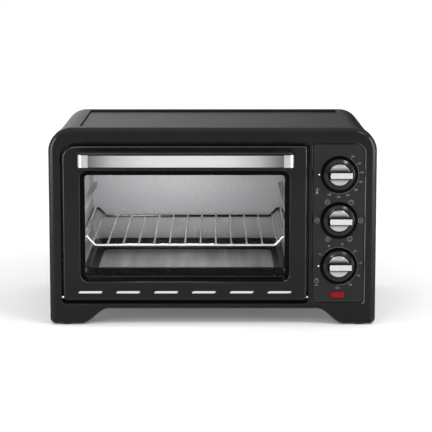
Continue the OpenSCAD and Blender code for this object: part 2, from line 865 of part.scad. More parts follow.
// Rail across the rack, with its ends cranked up and out to the side wires
module rack_rail(y) {
    rod_x(leg_x0 + bend_r, leg_x1 - bend_r, y, rail_z, rail_r);
    bend(leg_x0 + bend_r, y, rail_z + bend_r, 180);
    bend(leg_x1 - bend_r, y, rail_z + bend_r, 270);
    for (x = [leg_x0, leg_x1])
        rod_z(rail_z + bend_r, side_z - bend_r, x, y, rail_r);
    bend(leg_x0 - bend_r, y, side_z - bend_r, 0);
    bend(leg_x1 + bend_r, y, side_z - bend_r, 90);
    rod_x(side_x0, leg_x0 - bend_r, y, side_z, rail_r);
    rod_x(leg_x1 + bend_r, side_x1, y, side_z, rail_r);
}

module wire_rack() {
    cross_z = rail_z + rail_r + cross_r - 0.4;
    color("gainsboro") {
        for (y = [rack_y0, rack_y0 + rack_d])
            rack_rail(y);
        for (x = [side_x0, side_x1])
            rod_y(rack_y0 - 3, rack_y0 + rack_d + 3, x, side_z, side_r);
        for (i = [0:rack_wires - 1])
            rod_y(rack_y0 - 2, rack_y0 + rack_d + 2,
                (leg_x0 + leg_x1) / 2 + (i - (rack_wires - 1) / 2) * wire_pitch, cross_z, cross_r);
    }
}

// Closed pan shape, a distance d inside the tray's outer face
module pan(d) {
    x0 = tray_x0 + rim_w + d;
    x1 = tray_x1 - rim_w - d;
    y0 = tray_y0 + rim_w + d;
    y1 = tray_y0 + tray_d - rim_w - d;
    z1 = rim_z + (d > 0 ? 1 : 0);
    hull() {
        translate([0, 0, z1 - 0.1]) linear_extrude(0.1)
            polygon(box_outline(x0, y0, x1, y1, even(16)));
        translate([0, 0, rim_z - tray_h + d]) linear_extrude(0.1)
            polygon(box_outline(x0 + tray_slope, y0 + tray_slope, x1 - tray_slope, y1 - tray_slope, even(12)));
    }
}

module baking_tray() {
    color("#3a3a3c") difference() {
        union() {
            pan(0);
            translate([0, 0, rim_z - rim_t]) linear_extrude(rim_t)
                polygon(box_outline(tray_x0, tray_y0, tray_x1, tray_y0 + tray_d, even(18)));
        }
        pan(tray_t);
    }
}

front_frame();
control_panel();
outer_cover();
rear_panel();
base_plate();
foot_pads();
rear_feet();
rear_spacers();
cord_gland();
cover_screws();
rear_screws();
cavity_front();
cavity_floor();
cavity_ceiling();
cavity_back();
cavity_side_left();
cavity_side_right();
upper_heaters();
lower_heaters();
heater_insulators();
compartment_shield();
control_bracket();
thermostat();
function_switch();
timer_mechanism();
timer_bell();
control_nuts();
lamp_lens();
lamp_holder();
terminal_block();
hinge_pins();
door_panel();
window_bezel();
door_glass();
glass_gasket();
door_inner_plate();
hinge_arms();
handle_body();
handle_trim();
handle_caps();
handle_screws();
temperature_skirt();
temperature_grip();
temperature_shaft();
function_skirt();
function_grip();
function_shaft();
timer_skirt();
timer_grip();
timer_shaft();
wire_rack();
baking_tray();
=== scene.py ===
import math

import bmesh
import bpy
from mathutils import Matrix, Vector
from mathutils.geometry import delaunay_2d_cdt


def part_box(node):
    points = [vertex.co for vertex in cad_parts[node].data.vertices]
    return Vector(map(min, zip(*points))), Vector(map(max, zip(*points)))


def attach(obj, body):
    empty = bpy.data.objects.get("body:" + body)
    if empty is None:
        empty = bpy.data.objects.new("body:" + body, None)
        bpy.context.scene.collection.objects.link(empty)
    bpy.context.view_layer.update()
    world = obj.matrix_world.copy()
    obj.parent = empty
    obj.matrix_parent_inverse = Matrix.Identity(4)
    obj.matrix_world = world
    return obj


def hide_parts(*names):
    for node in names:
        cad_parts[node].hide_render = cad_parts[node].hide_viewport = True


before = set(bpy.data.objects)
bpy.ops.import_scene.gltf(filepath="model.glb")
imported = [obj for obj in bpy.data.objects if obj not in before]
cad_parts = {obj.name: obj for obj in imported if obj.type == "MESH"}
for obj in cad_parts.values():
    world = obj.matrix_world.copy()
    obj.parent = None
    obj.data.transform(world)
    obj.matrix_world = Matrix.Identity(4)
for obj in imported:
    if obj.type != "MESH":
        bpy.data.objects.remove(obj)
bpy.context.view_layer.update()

MM = 0.001

# ---- places taken from the frame ----
frame_low, frame_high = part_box("front_frame")
door_low, door_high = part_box("door_panel")
opening_low, opening_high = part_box("cavity_front")
panel_low, panel_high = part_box("control_panel")
bezel_low, bezel_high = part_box("window_bezel")
handle_low, handle_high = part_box("handle_body")
caps_low, caps_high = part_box("handle_caps")
lamp_low, lamp_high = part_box("lamp_lens")
rack_low, rack_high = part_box("wire_rack")
tray_low, tray_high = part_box("baking_tray")

# Sizes that the part's source holds and the boxes don't show
FRONT_Y = frame_low.y
CORNER_R = 34 * MM
FOOT_R = 8 * MM
FOOT_W = 44.9 * MM
ARCH_W = 38.6 * MM
ARCH_Z = 22.7 * MM
OPENING_RADII = [6 * MM, 6 * MM, 6 * MM, 22 * MM]
PANEL_RADII = [3 * MM, 3 * MM, 13.5 * MM, 3 * MM]
DOOR_RADII = [5 * MM, 5 * MM, 5 * MM, 19 * MM]
PANEL_GAP = 0.3 * MM
WINDOW_R = 11 * MM
WINDOW_LAP = 4 * MM
HANDLE_SKIN = 2 * MM
HANDLE_POST = 26 * MM
HANDLE_BAR = 20 * MM
HANDLE_INNER_R = 10 * MM


# ---- outlines ----

def arc(cx, cy, r, start, end, n=14):
    """Points along an arc, with its angles in degrees."""
    turn = [math.radians(start + (end - start) * i / n) for i in range(n + 1)]
    return [(cx + r * math.cos(t), cy + r * math.sin(t)) for t in turn]


def rounded(x0, z0, x1, z1, radii, grow=0.0, n=14):
    """A rectangle with its own radius at each corner, from the lower left one round, grown by grow."""
    bl, br, tr, tl = [max(r + grow, 0.3 * MM) for r in radii]
    x0, z0, x1, z1 = x0 - grow, z0 - grow, x1 + grow, z1 + grow
    return (arc(x0 + bl, z0 + bl, bl, 180, 270, n) + arc(x1 - br, z0 + br, br, 270, 360, n)
            + arc(x1 - tr, z1 - tr, tr, 0, 90, n) + arc(x0 + tl, z1 - tl, tl, 90, 180, n))


def normals(points):
    """Outward unit normals of a closed outline that runs counter-clockwise."""
    found = []
    for i, p in enumerate(points):
        a, b = Vector(points[i - 1]), Vector(points[(i + 1) % len(points)])
        along = (b - Vector(p)).normalized() + (Vector(p) - a).normalized()
        along = along.normalized()
        found.append(Vector((along.y, -along.x)))
    return found


def moved_in(points, distance):
    """The outline moved in by a distance, which may be a function of the outward normal."""
    result = []
    for p, n in zip(points, normals(points)):
        d = distance(n) if callable(distance) else distance
        result.append((p[0] - n.x * d, p[1] - n.y * d))
    return result


def edge(radius, y, depth=None, n=5, flat=1.0):
    """A front edge as (inset, y) pairs, from the face to the side: round at flat 1, a bevel at flat 2."""
    depth = radius if depth is None else depth
    turn = [math.pi / 2 * i / n for i in range(n + 1)]
    return [(radius * (1 - math.sin(t) ** flat), y + depth * (1 - abs(math.cos(t)) ** flat)) for t in turn]


def back_edge(radius, y, n=3):
    """A rounded back edge as (inset, y) pairs, from the side round to the back."""
    return [(inset, 2 * y - front) for inset, front in reversed(edge(radius, y, n=n))]


# ---- meshes ----

WELD = 0.002 * MM


def finish_mesh(name, bm, material, body, stands_for=(), angle=32):
    """Makes the object of a bmesh, smooth up to an angle, with its material and body."""
    bmesh.ops.remove_doubles(bm, verts=bm.verts, dist=WELD)
    bmesh.ops.recalc_face_normals(bm, faces=bm.faces)
    mesh = bpy.data.meshes.new(name)
    bm.to_mesh(mesh)
    bm.free()
    mesh.polygons.foreach_set("use_smooth", [True] * len(mesh.polygons))
    mesh.set_sharp_from_angle(angle=math.radians(angle))
    mesh.materials.append(material)
    piece = bpy.data.objects.new(name, mesh)
    bpy.context.scene.collection.objects.link(piece)
    weighted = piece.modifiers.new("even_shading", "WEIGHTED_NORMAL")
    weighted.keep_sharp = True
    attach(piece, body)
    if stands_for:
        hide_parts(*stands_for)
    return piece


def recolour(piece, material, pick):
    """Gives the faces that pick chooses a material of their own."""
    piece.data.materials.append(material)
    last = len(piece.data.materials) - 1
    for face in piece.data.polygons:
        if pick(face):
            face.material_index = last


def add_rings(bm, rings, capped=True):
    """Joins rings of equally many points with faces, and caps both ends with one face each."""
    loops = [[bm.verts.new(p) for p in ring] for ring in rings]
    for a, b in zip(loops, loops[1:]):
        for i in range(len(a)):
            j = (i + 1) % len(a)
            bm.faces.new((a[i], a[j], b[j], b[i]))
    if capped:
        bm.faces.new(loops[0])
        bm.faces.new(loops[-1])
    return loops


def inside(point, loops):
    """Whether a point lies inside an odd number of the loops, so in the plate and in none of its holes."""
    odd = False
    for loop in loops:
        for a, b in zip(loop, loop[1:] + loop[:1]):
            if (a.y > point.y) != (b.y > point.y):
                if point.x < a.x + (b.x - a.x) * (point.y - a.y) / (b.y - a.y):
                    odd = not odd
    return odd


def fill(bm, loops):
    """Fills the area between an outer loop and its holes, in the XZ plane, with triangles."""
    verts = [v for loop in loops for v in loop]
    flat = [[Vector((v.co.x / MM, v.co.z / MM)) for v in loop] for loop in loops]
    edges, first = [], 0
    for loop in loops:
        edges += [(first + i, first + (i + 1) % len(loop)) for i in range(len(loop))]
        first += len(loop)
    found = delaunay_2d_cdt([p for loop in flat for p in loop], edges, [], 0, 0.0001)
    points, triangles, sources = found[0], found[2], found[3]
    for triangle in triangles:
        middle = sum((points[i] for i in triangle), Vector((0, 0))) / 3
        if inside(middle, flat):
            bm.faces.new([verts[sources[i][0]] for i in triangle])


def add_plate(bm, sides):
    """A plate with holes. Each side is a list of rings from front to back: its outline, then each hole."""
    ends = [add_rings(bm, rings, capped=False) for rings in sides]
    fill(bm, [loops[0] for loops in ends])
    fill(bm, [loops[-1] for loops in ends])


def facing(points, y):
    """An outline in the XZ plane as a ring at depth y."""
    return [(x, y, z) for x, z in points]


def level(points, z):
    """An outline in the XY plane as a ring at height z."""
    return [(x, y, z) for x, y in points]


def add_lathe(bm, profile, place, turn, n=72):
    """A shape turned about its own Z axis from (radius, height) pairs, then placed. Radius 0 is an end."""
    around = [2 * math.pi * i / n for i in range(n)]
    rings = []
    for r, h in profile:
        radius = max(r, WELD / 2)
        rings.append([place + turn @ Vector((radius * math.cos(t), radius * math.sin(t), h)) for t in around])
    add_rings(bm, rings)


# ---- materials ----

# Nearly all of a noise field lies between these
NOISE_LOW = 0.3
NOISE_HIGH = 0.7


def grey(value):
    """A neutral colour."""
    return (value, value, value)


def new_material(name, roughness, metallic=0.0, specular=0.5):
    """An empty material with its shader's constants set; returns it with its nodes, links and shader."""
    material = bpy.data.materials.new(name)
    material.use_nodes = True
    nodes, links = material.node_tree.nodes, material.node_tree.links
    shader = nodes["Principled BSDF"]
    shader.inputs["Roughness"].default_value = roughness
    shader.inputs["Metallic"].default_value = metallic
    shader.inputs["Specular IOR Level"].default_value = specular
    return material, nodes, links, shader


def noise_field(nodes, links, size, stretch=(1, 1, 1), detail=3.0, slant=0.0):
    """Noise whose features are about size metres, stretched along each axis and slanted about Z."""
    coordinates = nodes.new("ShaderNodeTexCoord")
    mapping = nodes.new("ShaderNodeMapping")
    mapping.inputs["Rotation"].default_value = (0, 0, math.radians(slant))
    mapping.inputs["Scale"].default_value = [1 / (size * s) for s in stretch]
    noise = nodes.new("ShaderNodeTexNoise")
    noise.inputs["Scale"].default_value = 1.0
    noise.inputs["Detail"].default_value = detail
    links.new(coordinates.outputs["Object"], mapping.inputs["Vector"])
    links.new(mapping.outputs["Vector"], noise.inputs["Vector"])
    return noise.outputs["Fac"]


def ranged(nodes, links, value, low, high, to_low, to_high, way="SMOOTHSTEP"):
    """A value mapped from one range on to another, and held at its ends."""
    node = nodes.new("ShaderNodeMapRange")
    node.interpolation_type = way
    node.inputs["From Min"].default_value = low
    node.inputs["From Max"].default_value = high
    node.inputs["To Min"].default_value = to_low
    node.inputs["To Max"].default_value = to_high
    links.new(value, node.inputs["Value"])
    return node.outputs["Result"]


def spread(nodes, links, field, middle, reach):
    """A noise field as a roughness that goes up and down by reach round a middle value."""
    return ranged(nodes, links, field, NOISE_LOW, NOISE_HIGH, middle - reach, middle + reach, "LINEAR")


def tint(nodes, links, field, colour, variation):
    """A colour that a field makes a little darker and lighter."""
    ramp = nodes.new("ShaderNodeValToRGB")
    ramp.color_ramp.elements[0].position = NOISE_LOW
    ramp.color_ramp.elements[1].position = NOISE_HIGH
    ramp.color_ramp.elements[0].color = [c * (1 - variation) for c in colour] + [1]
    ramp.color_ramp.elements[1].color = [min(1, c * (1 + variation)) for c in colour] + [1]
    links.new(field, ramp.inputs["Fac"])
    return ramp.outputs["Color"]


def add_bump(nodes, links, shader, field, height):
    bump = nodes.new("ShaderNodeBump")
    bump.inputs["Strength"].default_value = 1.0
    bump.inputs["Distance"].default_value = height
    links.new(field, bump.inputs["Height"])
    links.new(bump.outputs["Normal"], shader.inputs["Normal"])


def surface(name, colour, roughness, grain, height, variation=0.12, metallic=0.0, specular=0.5, patch=0.06,
            rough_spread=0.05):
    """A surface with a fine grain in its bump, and slow patches in its colour and roughness."""
    material, nodes, links, shader = new_material(name, roughness, metallic, specular)
    fine = noise_field(nodes, links, grain * MM)
    slow = noise_field(nodes, links, patch)
    links.new(tint(nodes, links, slow, colour, variation), shader.inputs["Base Color"])
    links.new(spread(nodes, links, slow, roughness, rough_spread), shader.inputs["Roughness"])
    add_bump(nodes, links, shader, fine, height * MM)
    return material


LINE_WIDTH = 0.12 * MM
LINE_LENGTH = 60


def brushed(name, colour, roughness, along):
    """Metal with fine straight lines along one axis, which show in its colour, roughness and bump."""
    stretch = [LINE_LENGTH if axis == along else 1 for axis in "XYZ"]
    material, nodes, links, shader = new_material(name, roughness, 1.0)
    lines = noise_field(nodes, links, LINE_WIDTH, stretch, detail=2.0)
    links.new(tint(nodes, links, lines, colour, 0.1), shader.inputs["Base Color"])
    links.new(spread(nodes, links, lines, roughness, 0.06), shader.inputs["Roughness"])
    add_bump(nodes, links, shader, lines, 0.004 * MM)
    return material


# Painted light and shade along a metal face's width or height, as (place from 0 to 1, share of its colour)
# The knob's disc: painted highlights above and below the grip, and a painted shadow and reflection of the
# grip round it
DISC_PAINTED_LIGHT = [(0.0, 0.8), (0.1, 1.0), (0.19, 0.9), (0.28, 0.25), (0.6, 0.08), (0.68, 0.2), (0.8, 0.62),
               (0.9, 0.95), (1.0, 0.45)]
# The handle's brushed face: a painted highlight in its middle, fading to painted shade at its ends
TRIM_PAINTED_LIGHT = [(0.0, 0.22), (0.05, 0.34), (0.12, 0.62), (0.3, 0.98), (0.72, 1.0), (0.88, 0.6),
               (0.95, 0.32), (1.0, 0.2)]
# The rack's rear rail: a painted highlight near its left end, darker towards its right
REAR_RAIL_PAINTED_LIGHT = [(0.0, 0.03), (0.07, 0.03), (0.11, 0.7), (0.22, 0.6), (0.32, 0.4), (0.38, 0.02),
                    (0.7, 0.005), (1.0, 0.005)]


def painted_light_metal(name, colour, roughness, along, shades):
    """Finely lined metal with painted light and shade: a ramp along one axis lightens and darkens its colour.
    """
    material, nodes, links, shader = new_material(name, roughness, 1.0)
    lines = noise_field(nodes, links, LINE_WIDTH, (LINE_LENGTH, 1, 1), detail=2.0)
    place = nodes.new("ShaderNodeTexCoord")
    split = nodes.new("ShaderNodeSeparateXYZ")
    links.new(place.outputs["Generated"], split.inputs["Vector"])
    ramp = nodes.new("ShaderNodeValToRGB")
    ramp.color_ramp.interpolation = "B_SPLINE"
    for i, (at, share) in enumerate(shades):
        stop = ramp.color_ramp.elements[i] if i < 2 else ramp.color_ramp.elements.new(at)
        stop.position = at
        stop.color = [c * share for c in colour] + [1]
    links.new(split.outputs[along], ramp.inputs["Fac"])
    fine = nodes.new("ShaderNodeMix")
    fine.data_type = "RGBA"
    fine.blend_type = "MULTIPLY"
    fine.inputs["Factor"].default_value = 1.0
    links.new(ramp.outputs["Color"], fine.inputs["A"])
    links.new(tint(nodes, links, lines, grey(0.93), 0.07), fine.inputs["B"])
    links.new(fine.outputs["Result"], shader.inputs["Base Color"])
    links.new(spread(nodes, links, lines, roughness, 0.05), shader.inputs["Roughness"])
    add_bump(nodes, links, shader, lines, 0.002 * MM)
    return material


# Width and stretch of the painted wire shadows and reflections on the tray's floor
STREAK_WIDTH = 14 * MM
STREAK_STRETCH = (1, 21.4, 71.4)


def wire_shadow_streaked(name, colour, roughness, metallic):
    """Metal with wide slanted streaks across it, painted shadows and reflections of the rack's wires, and a
    fine grain.
    """
    material, nodes, links, shader = new_material(name, roughness, metallic)
    streaks = noise_field(nodes, links, STREAK_WIDTH, STREAK_STRETCH, detail=1.5, slant=-28)
    links.new(tint(nodes, links, streaks, colour, 0.35), shader.inputs["Base Color"])
    links.new(spread(nodes, links, streaks, roughness, 0.06), shader.inputs["Roughness"])
    add_bump(nodes, links, shader, noise_field(nodes, links, 0.9 * MM), 0.004 * MM)
    return material


def lamp_material():
    material, nodes, links, shader = new_material("lamp_red", 0.14, specular=0.16)
    ribs = noise_field(nodes, links, 0.7 * MM, (0.6, 1, 6))
    links.new(tint(nodes, links, ribs, (0.12, 0.0008, 0.0025), 0.5), shader.inputs["Base Color"])
    shader.inputs["Emission Color"].default_value = (0.5, 0.01, 0.015, 1)
    shader.inputs["Emission Strength"].default_value = 0.05
    add_bump(nodes, links, shader, ribs, 0.05 * MM)
    return material


def glass_material():
    """Clear glass that lets light through to the oven's inside, with faint uneven smears in its gloss."""
    material, nodes, links, shader = new_material("door_glass", 0.04, specular=0.5)
    smear = noise_field(nodes, links, 0.05)
    links.new(tint(nodes, links, smear, (0.02, 0.021, 0.022), 0.2), shader.inputs["Base Color"])
    links.new(spread(nodes, links, smear, 0.04, 0.02), shader.inputs["Roughness"])
    shader.inputs["Alpha"].default_value = 0.06
    shader.inputs["IOR"].default_value = 1.5
    return material


def make_materials():
    """Every material. A surface gives its name, colour, roughness, and its grain's size and height in mm."""
    return {
        "frame": surface("frame_moulding", (0.0026, 0.0027, 0.0027), 0.26, 0.35, 0.003, specular=0.18),
        "cover": surface("cabinet_paint", (0.004, 0.0042, 0.0043), 0.26, 0.6, 0.004, specular=0.23,
                         rough_spread=0.015),
        "panel": surface("panel_paint", (0.0118, 0.0121, 0.0128), 0.4, 0.4, 0.006, specular=0.14),
        "door": surface("door_paint", (0.006, 0.006, 0.0064), 0.2, 1.5, 0.001, specular=0.13,
                        rough_spread=0.03),
        "edge": surface("edge_black", grey(0.003), 0.22, 0.4, 0.002, specular=0.55),
        # A lighter, glossier copy of the frame's black: a painted highlight on the lip round the control
        # panel
        "painted_highlight_edge": surface("edge_painted_highlight", (0.02, 0.02, 0.019), 0.26, 0.4, 0.002, specular=1.0),
        # Near-black: the window's border has it, and the dishes round the knobs, the lamp's hole and the
        # knobs' skirts outside their cones take it as painted shade
        "bezel": surface("bezel_black", grey(0.0008), 0.16, 1.5, 0.001, specular=0.04, rough_spread=0.03),
        "black_plastic": surface("plastic_black", (0.009, 0.009, 0.0095), 0.42, 0.3, 0.01),
        "handle_plastic": surface("handle_plastic", grey(0.003), 0.28, 0.3, 0.003, specular=0.2),
        "rubber": surface("rubber_black", grey(0.01), 0.7, 0.4, 0.02),
        "knob_black": surface("knob_black", grey(0.0025), 0.17, 1.2, 0.001, specular=0.3,
                              rough_spread=0.03),
        "zinc": surface("zinc_steel", grey(0.5), 0.38, 2.5, 0.006, metallic=1.0, patch=0.012),
        "cavity": surface("cavity_steel", (0.56, 0.555, 0.565), 0.46, 0.9, 0.03, variation=0.11,
                          metallic=0.75, patch=0.0028),
        "heater": surface("heater_steel", (0.09, 0.08, 0.075), 0.45, 0.5, 0.01, metallic=0.7, patch=0.02),
        "ceramic": surface("ceramic_white", (0.72, 0.7, 0.65), 0.6, 0.4, 0.015, patch=0.01),
        "switch": surface("switch_plastic", (0.3, 0.25, 0.18), 0.5, 0.4, 0.01, patch=0.02),
        "brass": surface("bell_brass", (0.62, 0.45, 0.2), 0.3, 0.5, 0.005, metallic=1.0, patch=0.01),
        "screw": surface("screw_steel", grey(0.6), 0.3, 0.3, 0.004, metallic=1.0, patch=0.004),
        "shaft": brushed("shaft_steel", grey(0.6), 0.3, "Z"),
        "silver": surface("knob_silver", (0.58, 0.575, 0.6), 0.3, 0.25, 0.002, variation=0.03,
                          metallic=1.0, patch=0.01),
        # The knob's disc carries painted highlights and a painted shadow and reflection of its grip
        "disc": painted_light_metal("knob_disc_painted_light", (0.52, 0.515, 0.525), 0.3, "Z", DISC_PAINTED_LIGHT),
        # The handle's brushed face, with a painted highlight in its middle and painted shade at its ends
        "trim": painted_light_metal("brushed_trim", (0.66, 0.66, 0.65), 0.34, "X", TRIM_PAINTED_LIGHT),
        "cap": surface("cap_chrome", grey(0.46), 0.3, 0.25, 0.003, variation=0.05, metallic=1.0,
                       patch=0.01),
        "chrome": surface("rack_chrome", (0.5, 0.49, 0.54), 0.22, 0.6, 0.004, variation=0.06, metallic=1.0,
                          patch=0.01),
        # The rack's front rail: a lighter copy of the chrome, a painted highlight along it
        "highlit_front_wire": surface("front_wire_painted_highlight", (0.85, 0.84, 0.79), 0.2, 0.6, 0.004, variation=0.06,
                              metallic=1.0, patch=0.01),
        # The rack's rear rail: a painted highlight near its left end, darker towards its right
        "highlit_back_wire": painted_light_metal("back_wire_painted_highlight", (0.7, 0.69, 0.68), 0.25, "X", REAR_RAIL_PAINTED_LIGHT),
        "enamel": surface("tray_enamel", grey(0.001), 0.3, 0.8, 0.006, patch=0.02, specular=0.03),
        # The tray's floor: a lighter metal than its walls, a painted reflection of the lit back wall, with
        # painted shadows and reflections of the rack's wires
        "tray_floor_painted_light": wire_shadow_streaked("tray_floor_painted_light", (0.38, 0.36, 0.38), 0.36, 0.4),
        "strip": brushed("strip_steel", (0.8, 0.81, 0.78), 0.4, "X"),
        "silicone": surface("silicone_grey", grey(0.03), 0.6, 0.4, 0.01, patch=0.01),
        "print": surface("dial_print", (0.15, 0.15, 0.155), 0.5, 0.2, 0.002, variation=0.06, patch=0.01),
        "bright_print": surface("off_dot", grey(0.75), 0.5, 0.2, 0.002, variation=0.04, patch=0.01),
        "lamp": lamp_material(),
        "glass": glass_material(),
    }


LOOKS = make_materials()

# ---- CAD nodes whose shape is right: a small bevel and a better material ----

# Each node's material and the width of its bevel in mm
KEPT = {
    "outer_cover": ("cover", 0.3), "rear_panel": ("cover", 0.15), "base_plate": ("zinc", 0.2),
    "foot_pads": ("rubber", 0.6), "rear_feet": ("black_plastic", 0.8), "rear_spacers": ("black_plastic", 0.5),
    "cord_gland": ("black_plastic", 0.3), "cover_screws": ("screw", 0.25), "rear_screws": ("screw", 0.25),
    # The cavity's steel front takes the cabinet's black paint: painted shade in the gap round the door
    "cavity_front": ("cover", 0.15), "cavity_floor": ("cavity", 0), "cavity_ceiling": ("cavity", 0),
    "cavity_back": ("cavity", 0), "cavity_side_left": ("cavity", 0.8), "cavity_side_right": ("cavity", 0.8),
    "upper_heaters": ("heater", 0.5), "lower_heaters": ("heater", 0.5), "heater_insulators": ("ceramic", 0.5),
    "compartment_shield": ("zinc", 0), "control_bracket": ("zinc", 0.2), "thermostat": ("switch", 0.6),
    "function_switch": ("switch", 0.6), "timer_mechanism": ("zinc", 0.6), "timer_bell": ("brass", 0.2),
    "control_nuts": ("screw", 0.3), "lamp_holder": ("ceramic", 0.2),
    "terminal_block": ("ceramic", 0.5), "hinge_pins": ("shaft", 0.3), "glass_gasket": ("silicone", 0.3),
    "door_glass": ("glass", 0.2), "door_inner_plate": ("cavity", 0.3), "hinge_arms": ("zinc", 0.25),
    "handle_screws": ("screw", 0.3), "temperature_shaft": ("shaft", 0.3), "function_shaft": ("shaft", 0.3),
    "timer_shaft": ("shaft", 0.3),
}


def dress(node, material, bevel):
    """Gives a CAD node its material, softened edges and even shading. Its own vertices stay as they are."""
    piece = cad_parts[node]
    piece.data.materials.clear()
    piece.data.materials.append(material)
    piece.data.polygons.foreach_set("material_index", [0] * len(piece.data.polygons))
    weld = piece.modifiers.new("weld", "WELD")
    weld.merge_threshold = 0.005 * MM
    whole = piece.modifiers.new("whole_faces", "DECIMATE")
    whole.decimate_type = "DISSOLVE"
    whole.angle_limit = math.radians(0.5)
    if bevel:
        soft = piece.modifiers.new("soft_edges", "BEVEL")
        soft.width = bevel * MM
        soft.segments = 2
        soft.limit_method = "ANGLE"
        soft.angle_limit = math.radians(40)
    shade = piece.modifiers.new("even_shading", "WEIGHTED_NORMAL")
    shade.keep_sharp = True


for kept_node, (key, kept_bevel) in KEPT.items():
    dress(kept_node, LOOKS[key], kept_bevel)

# ---- front frame and control panel ----

FRAME_BEVEL = 8.4 * MM
FRAME_BEVEL_DEPTH = 5.4 * MM
FRAME_BEVEL_FLAT = 1.6
FRAME_BACK_R = 0.5 * MM
OPENING_LIP_R = 1.3 * MM
PANEL_LIP = 1.6 * MM
PANEL_LIP_DEPTH = 1.3 * MM
PANEL_LEDGE = 5 * MM
PANEL_EDGE = 0.9 * MM


def frame_outline():
    """The frame from the front: its feet, the curves up to the lower band between them, and its corners."""
    half = frame_high.x
    sole = frame_low.z
    swing = [i / 24 for i in range(25)]
    rise = [(1 - math.cos(math.pi * t)) / 2 for t in swing]
    right = [(half - FOOT_W - ARCH_W * (1 - t), ARCH_Z - (ARCH_Z - sole) * r) for t, r in zip(swing, rise)]
    left = [(FOOT_W + ARCH_W * t - half, sole + (ARCH_Z - sole) * r) for t, r in zip(swing, rise)]
    top = frame_high.z - CORNER_R
    return (right + arc(half - FOOT_R, sole + FOOT_R, FOOT_R, 270, 360)
            + arc(half - CORNER_R, top, CORNER_R, 0, 90, 28)
            + arc(CORNER_R - half, top, CORNER_R, 90, 180, 28)
            + arc(FOOT_R - half, sole + FOOT_R, FOOT_R, 180, 270) + left)


def bevel_share(normal):
    """How much of the frame's front bevel an edge has: all of it at the sides, less on top, least below."""
    if normal.y < 0:
        return 1 - 0.74 * -normal.y
    return 1 - 0.35 * normal.y


def panel_opening(grow=0.0):
    """The hole in the frame that the control panel sits in."""
    return rounded(panel_low.x - PANEL_GAP, panel_low.z - PANEL_GAP, panel_high.x + PANEL_GAP,
                   panel_high.z + PANEL_GAP, PANEL_RADII, grow=grow)


def on_panel_lip(face):
    """Whether a face of the frame is the lip round the panel where it looks to the front left, which takes a
    painted highlight.
    """
    reach = PANEL_GAP + PANEL_LIP + 0.1 * MM
    beside = panel_low.x - reach < face.center.x < panel_high.x + reach
    level_with = panel_low.z - reach < face.center.z < panel_high.z + reach
    return beside and level_with and face.normal.x < -0.1 and face.normal.y < -0.1


def make_front_frame():
    bm = bmesh.new()
    outline = frame_outline()
    back, ledge = frame_high.y, panel_high.y
    outer = [facing(moved_in(outline, lambda n, d=d: d * bevel_share(n)), y)
             for d, y in edge(FRAME_BEVEL, FRONT_Y, FRAME_BEVEL_DEPTH, n=10, flat=FRAME_BEVEL_FLAT)]
    outer += [facing(moved_in(outline, d), y) for d, y in back_edge(FRAME_BACK_R, back)]
    door = (opening_low.x, opening_low.z, opening_high.x, opening_high.z, OPENING_RADII)
    door_rings = [facing(rounded(*door, grow=d), y) for d, y in edge(OPENING_LIP_R, FRONT_Y, n=3)]
    door_rings.append(facing(rounded(*door), back))
    lip = edge(PANEL_LIP, FRONT_Y, PANEL_LIP_DEPTH, n=6, flat=1.4)
    panel_rings = [facing(panel_opening(d), y) for d, y in lip + [(0, ledge), (-PANEL_LEDGE, ledge)]]
    panel_rings.append(facing(panel_opening(-PANEL_LEDGE), back))
    add_plate(bm, [outer, door_rings, panel_rings])
    surround = finish_mesh("front_surround", bm, LOOKS["frame"], "cabinet", ["front_frame"])
    # The lip round the panel gets a painted highlight
    recolour(surround, LOOKS["painted_highlight_edge"], on_panel_lip)


def knob_places():
    """Where each knob's axis meets the panel, seen from the front."""
    places = {}
    for name in ("temperature", "function", "timer"):
        low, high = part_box(name + "_skirt")
        places[name] = Vector(((low.x + high.x) / 2, (low.z + high.z) / 2))
    return places


KNOBS = knob_places()
PANEL_Y = panel_low.y


def circle(centre, r, n=72):
    return arc(centre.x, centre.y, r, 0, 360, n)[:-1]


# The dish round each knob, as (radius, depth), and the edge of the lamp's hole, as (outset, depth), in mm
DISH = [(26.9, 0), (26.6, 0.12), (26.2, 0.5), (25.9, 0.6), (4, 0.6), (4, 3)]
LAMP_HOLE = [(1.0, 0), (0.5, 0.25), (0.2, 0.8), (0.2, 3)]
# The lamp's dome as (inset, depth) in mm
LAMP_DOME = [(0, 0.8), (0.3, 0.4), (0.8, 0.2), (1.5, 0.08), (2.3, 0)]
LAMP_BOX = (lamp_low.x, lamp_low.z, lamp_high.x, lamp_high.z, [2.5 * MM] * 4)


def make_control_panel():
    bm = bmesh.new()
    box = (panel_low.x, panel_low.z, panel_high.x, panel_high.z, PANEL_RADII)
    outer = [facing(rounded(*box, grow=-d), y) for d, y in edge(PANEL_EDGE, PANEL_Y, n=3)]
    outer.append(facing(rounded(*box), panel_high.y))
    holes = [[facing(circle(place, r * MM), PANEL_Y + y * MM) for r, y in DISH] for place in KNOBS.values()]
    holes.append([facing(rounded(*LAMP_BOX, grow=d * MM), PANEL_Y + y * MM) for d, y in LAMP_HOLE])
    add_plate(bm, [outer] + holes)
    fascia = finish_mesh("control_fascia", bm, LOOKS["panel"], "cabinet", ["control_panel"])
    # The dishes round the knobs and the lamp's hole take the near-black: painted shade round the knobs
    recolour(fascia, LOOKS["bezel"], lambda face: face.center.y > PANEL_Y + 0.45 * MM)


def make_lamp():
    """The red lamp's lens: a shallow dome that fills its hole in the panel."""
    bm = bmesh.new()
    rings = [facing(rounded(*LAMP_BOX), lamp_high.y)]
    rings += [facing(rounded(*LAMP_BOX, grow=-d * MM), lamp_low.y + y * MM) for d, y in LAMP_DOME]
    add_rings(bm, rings)
    finish_mesh("lamp_dome", bm, LOOKS["lamp"], "cabinet", ["lamp_lens"])


make_front_frame()
make_control_panel()
make_lamp()

# ---- door ----

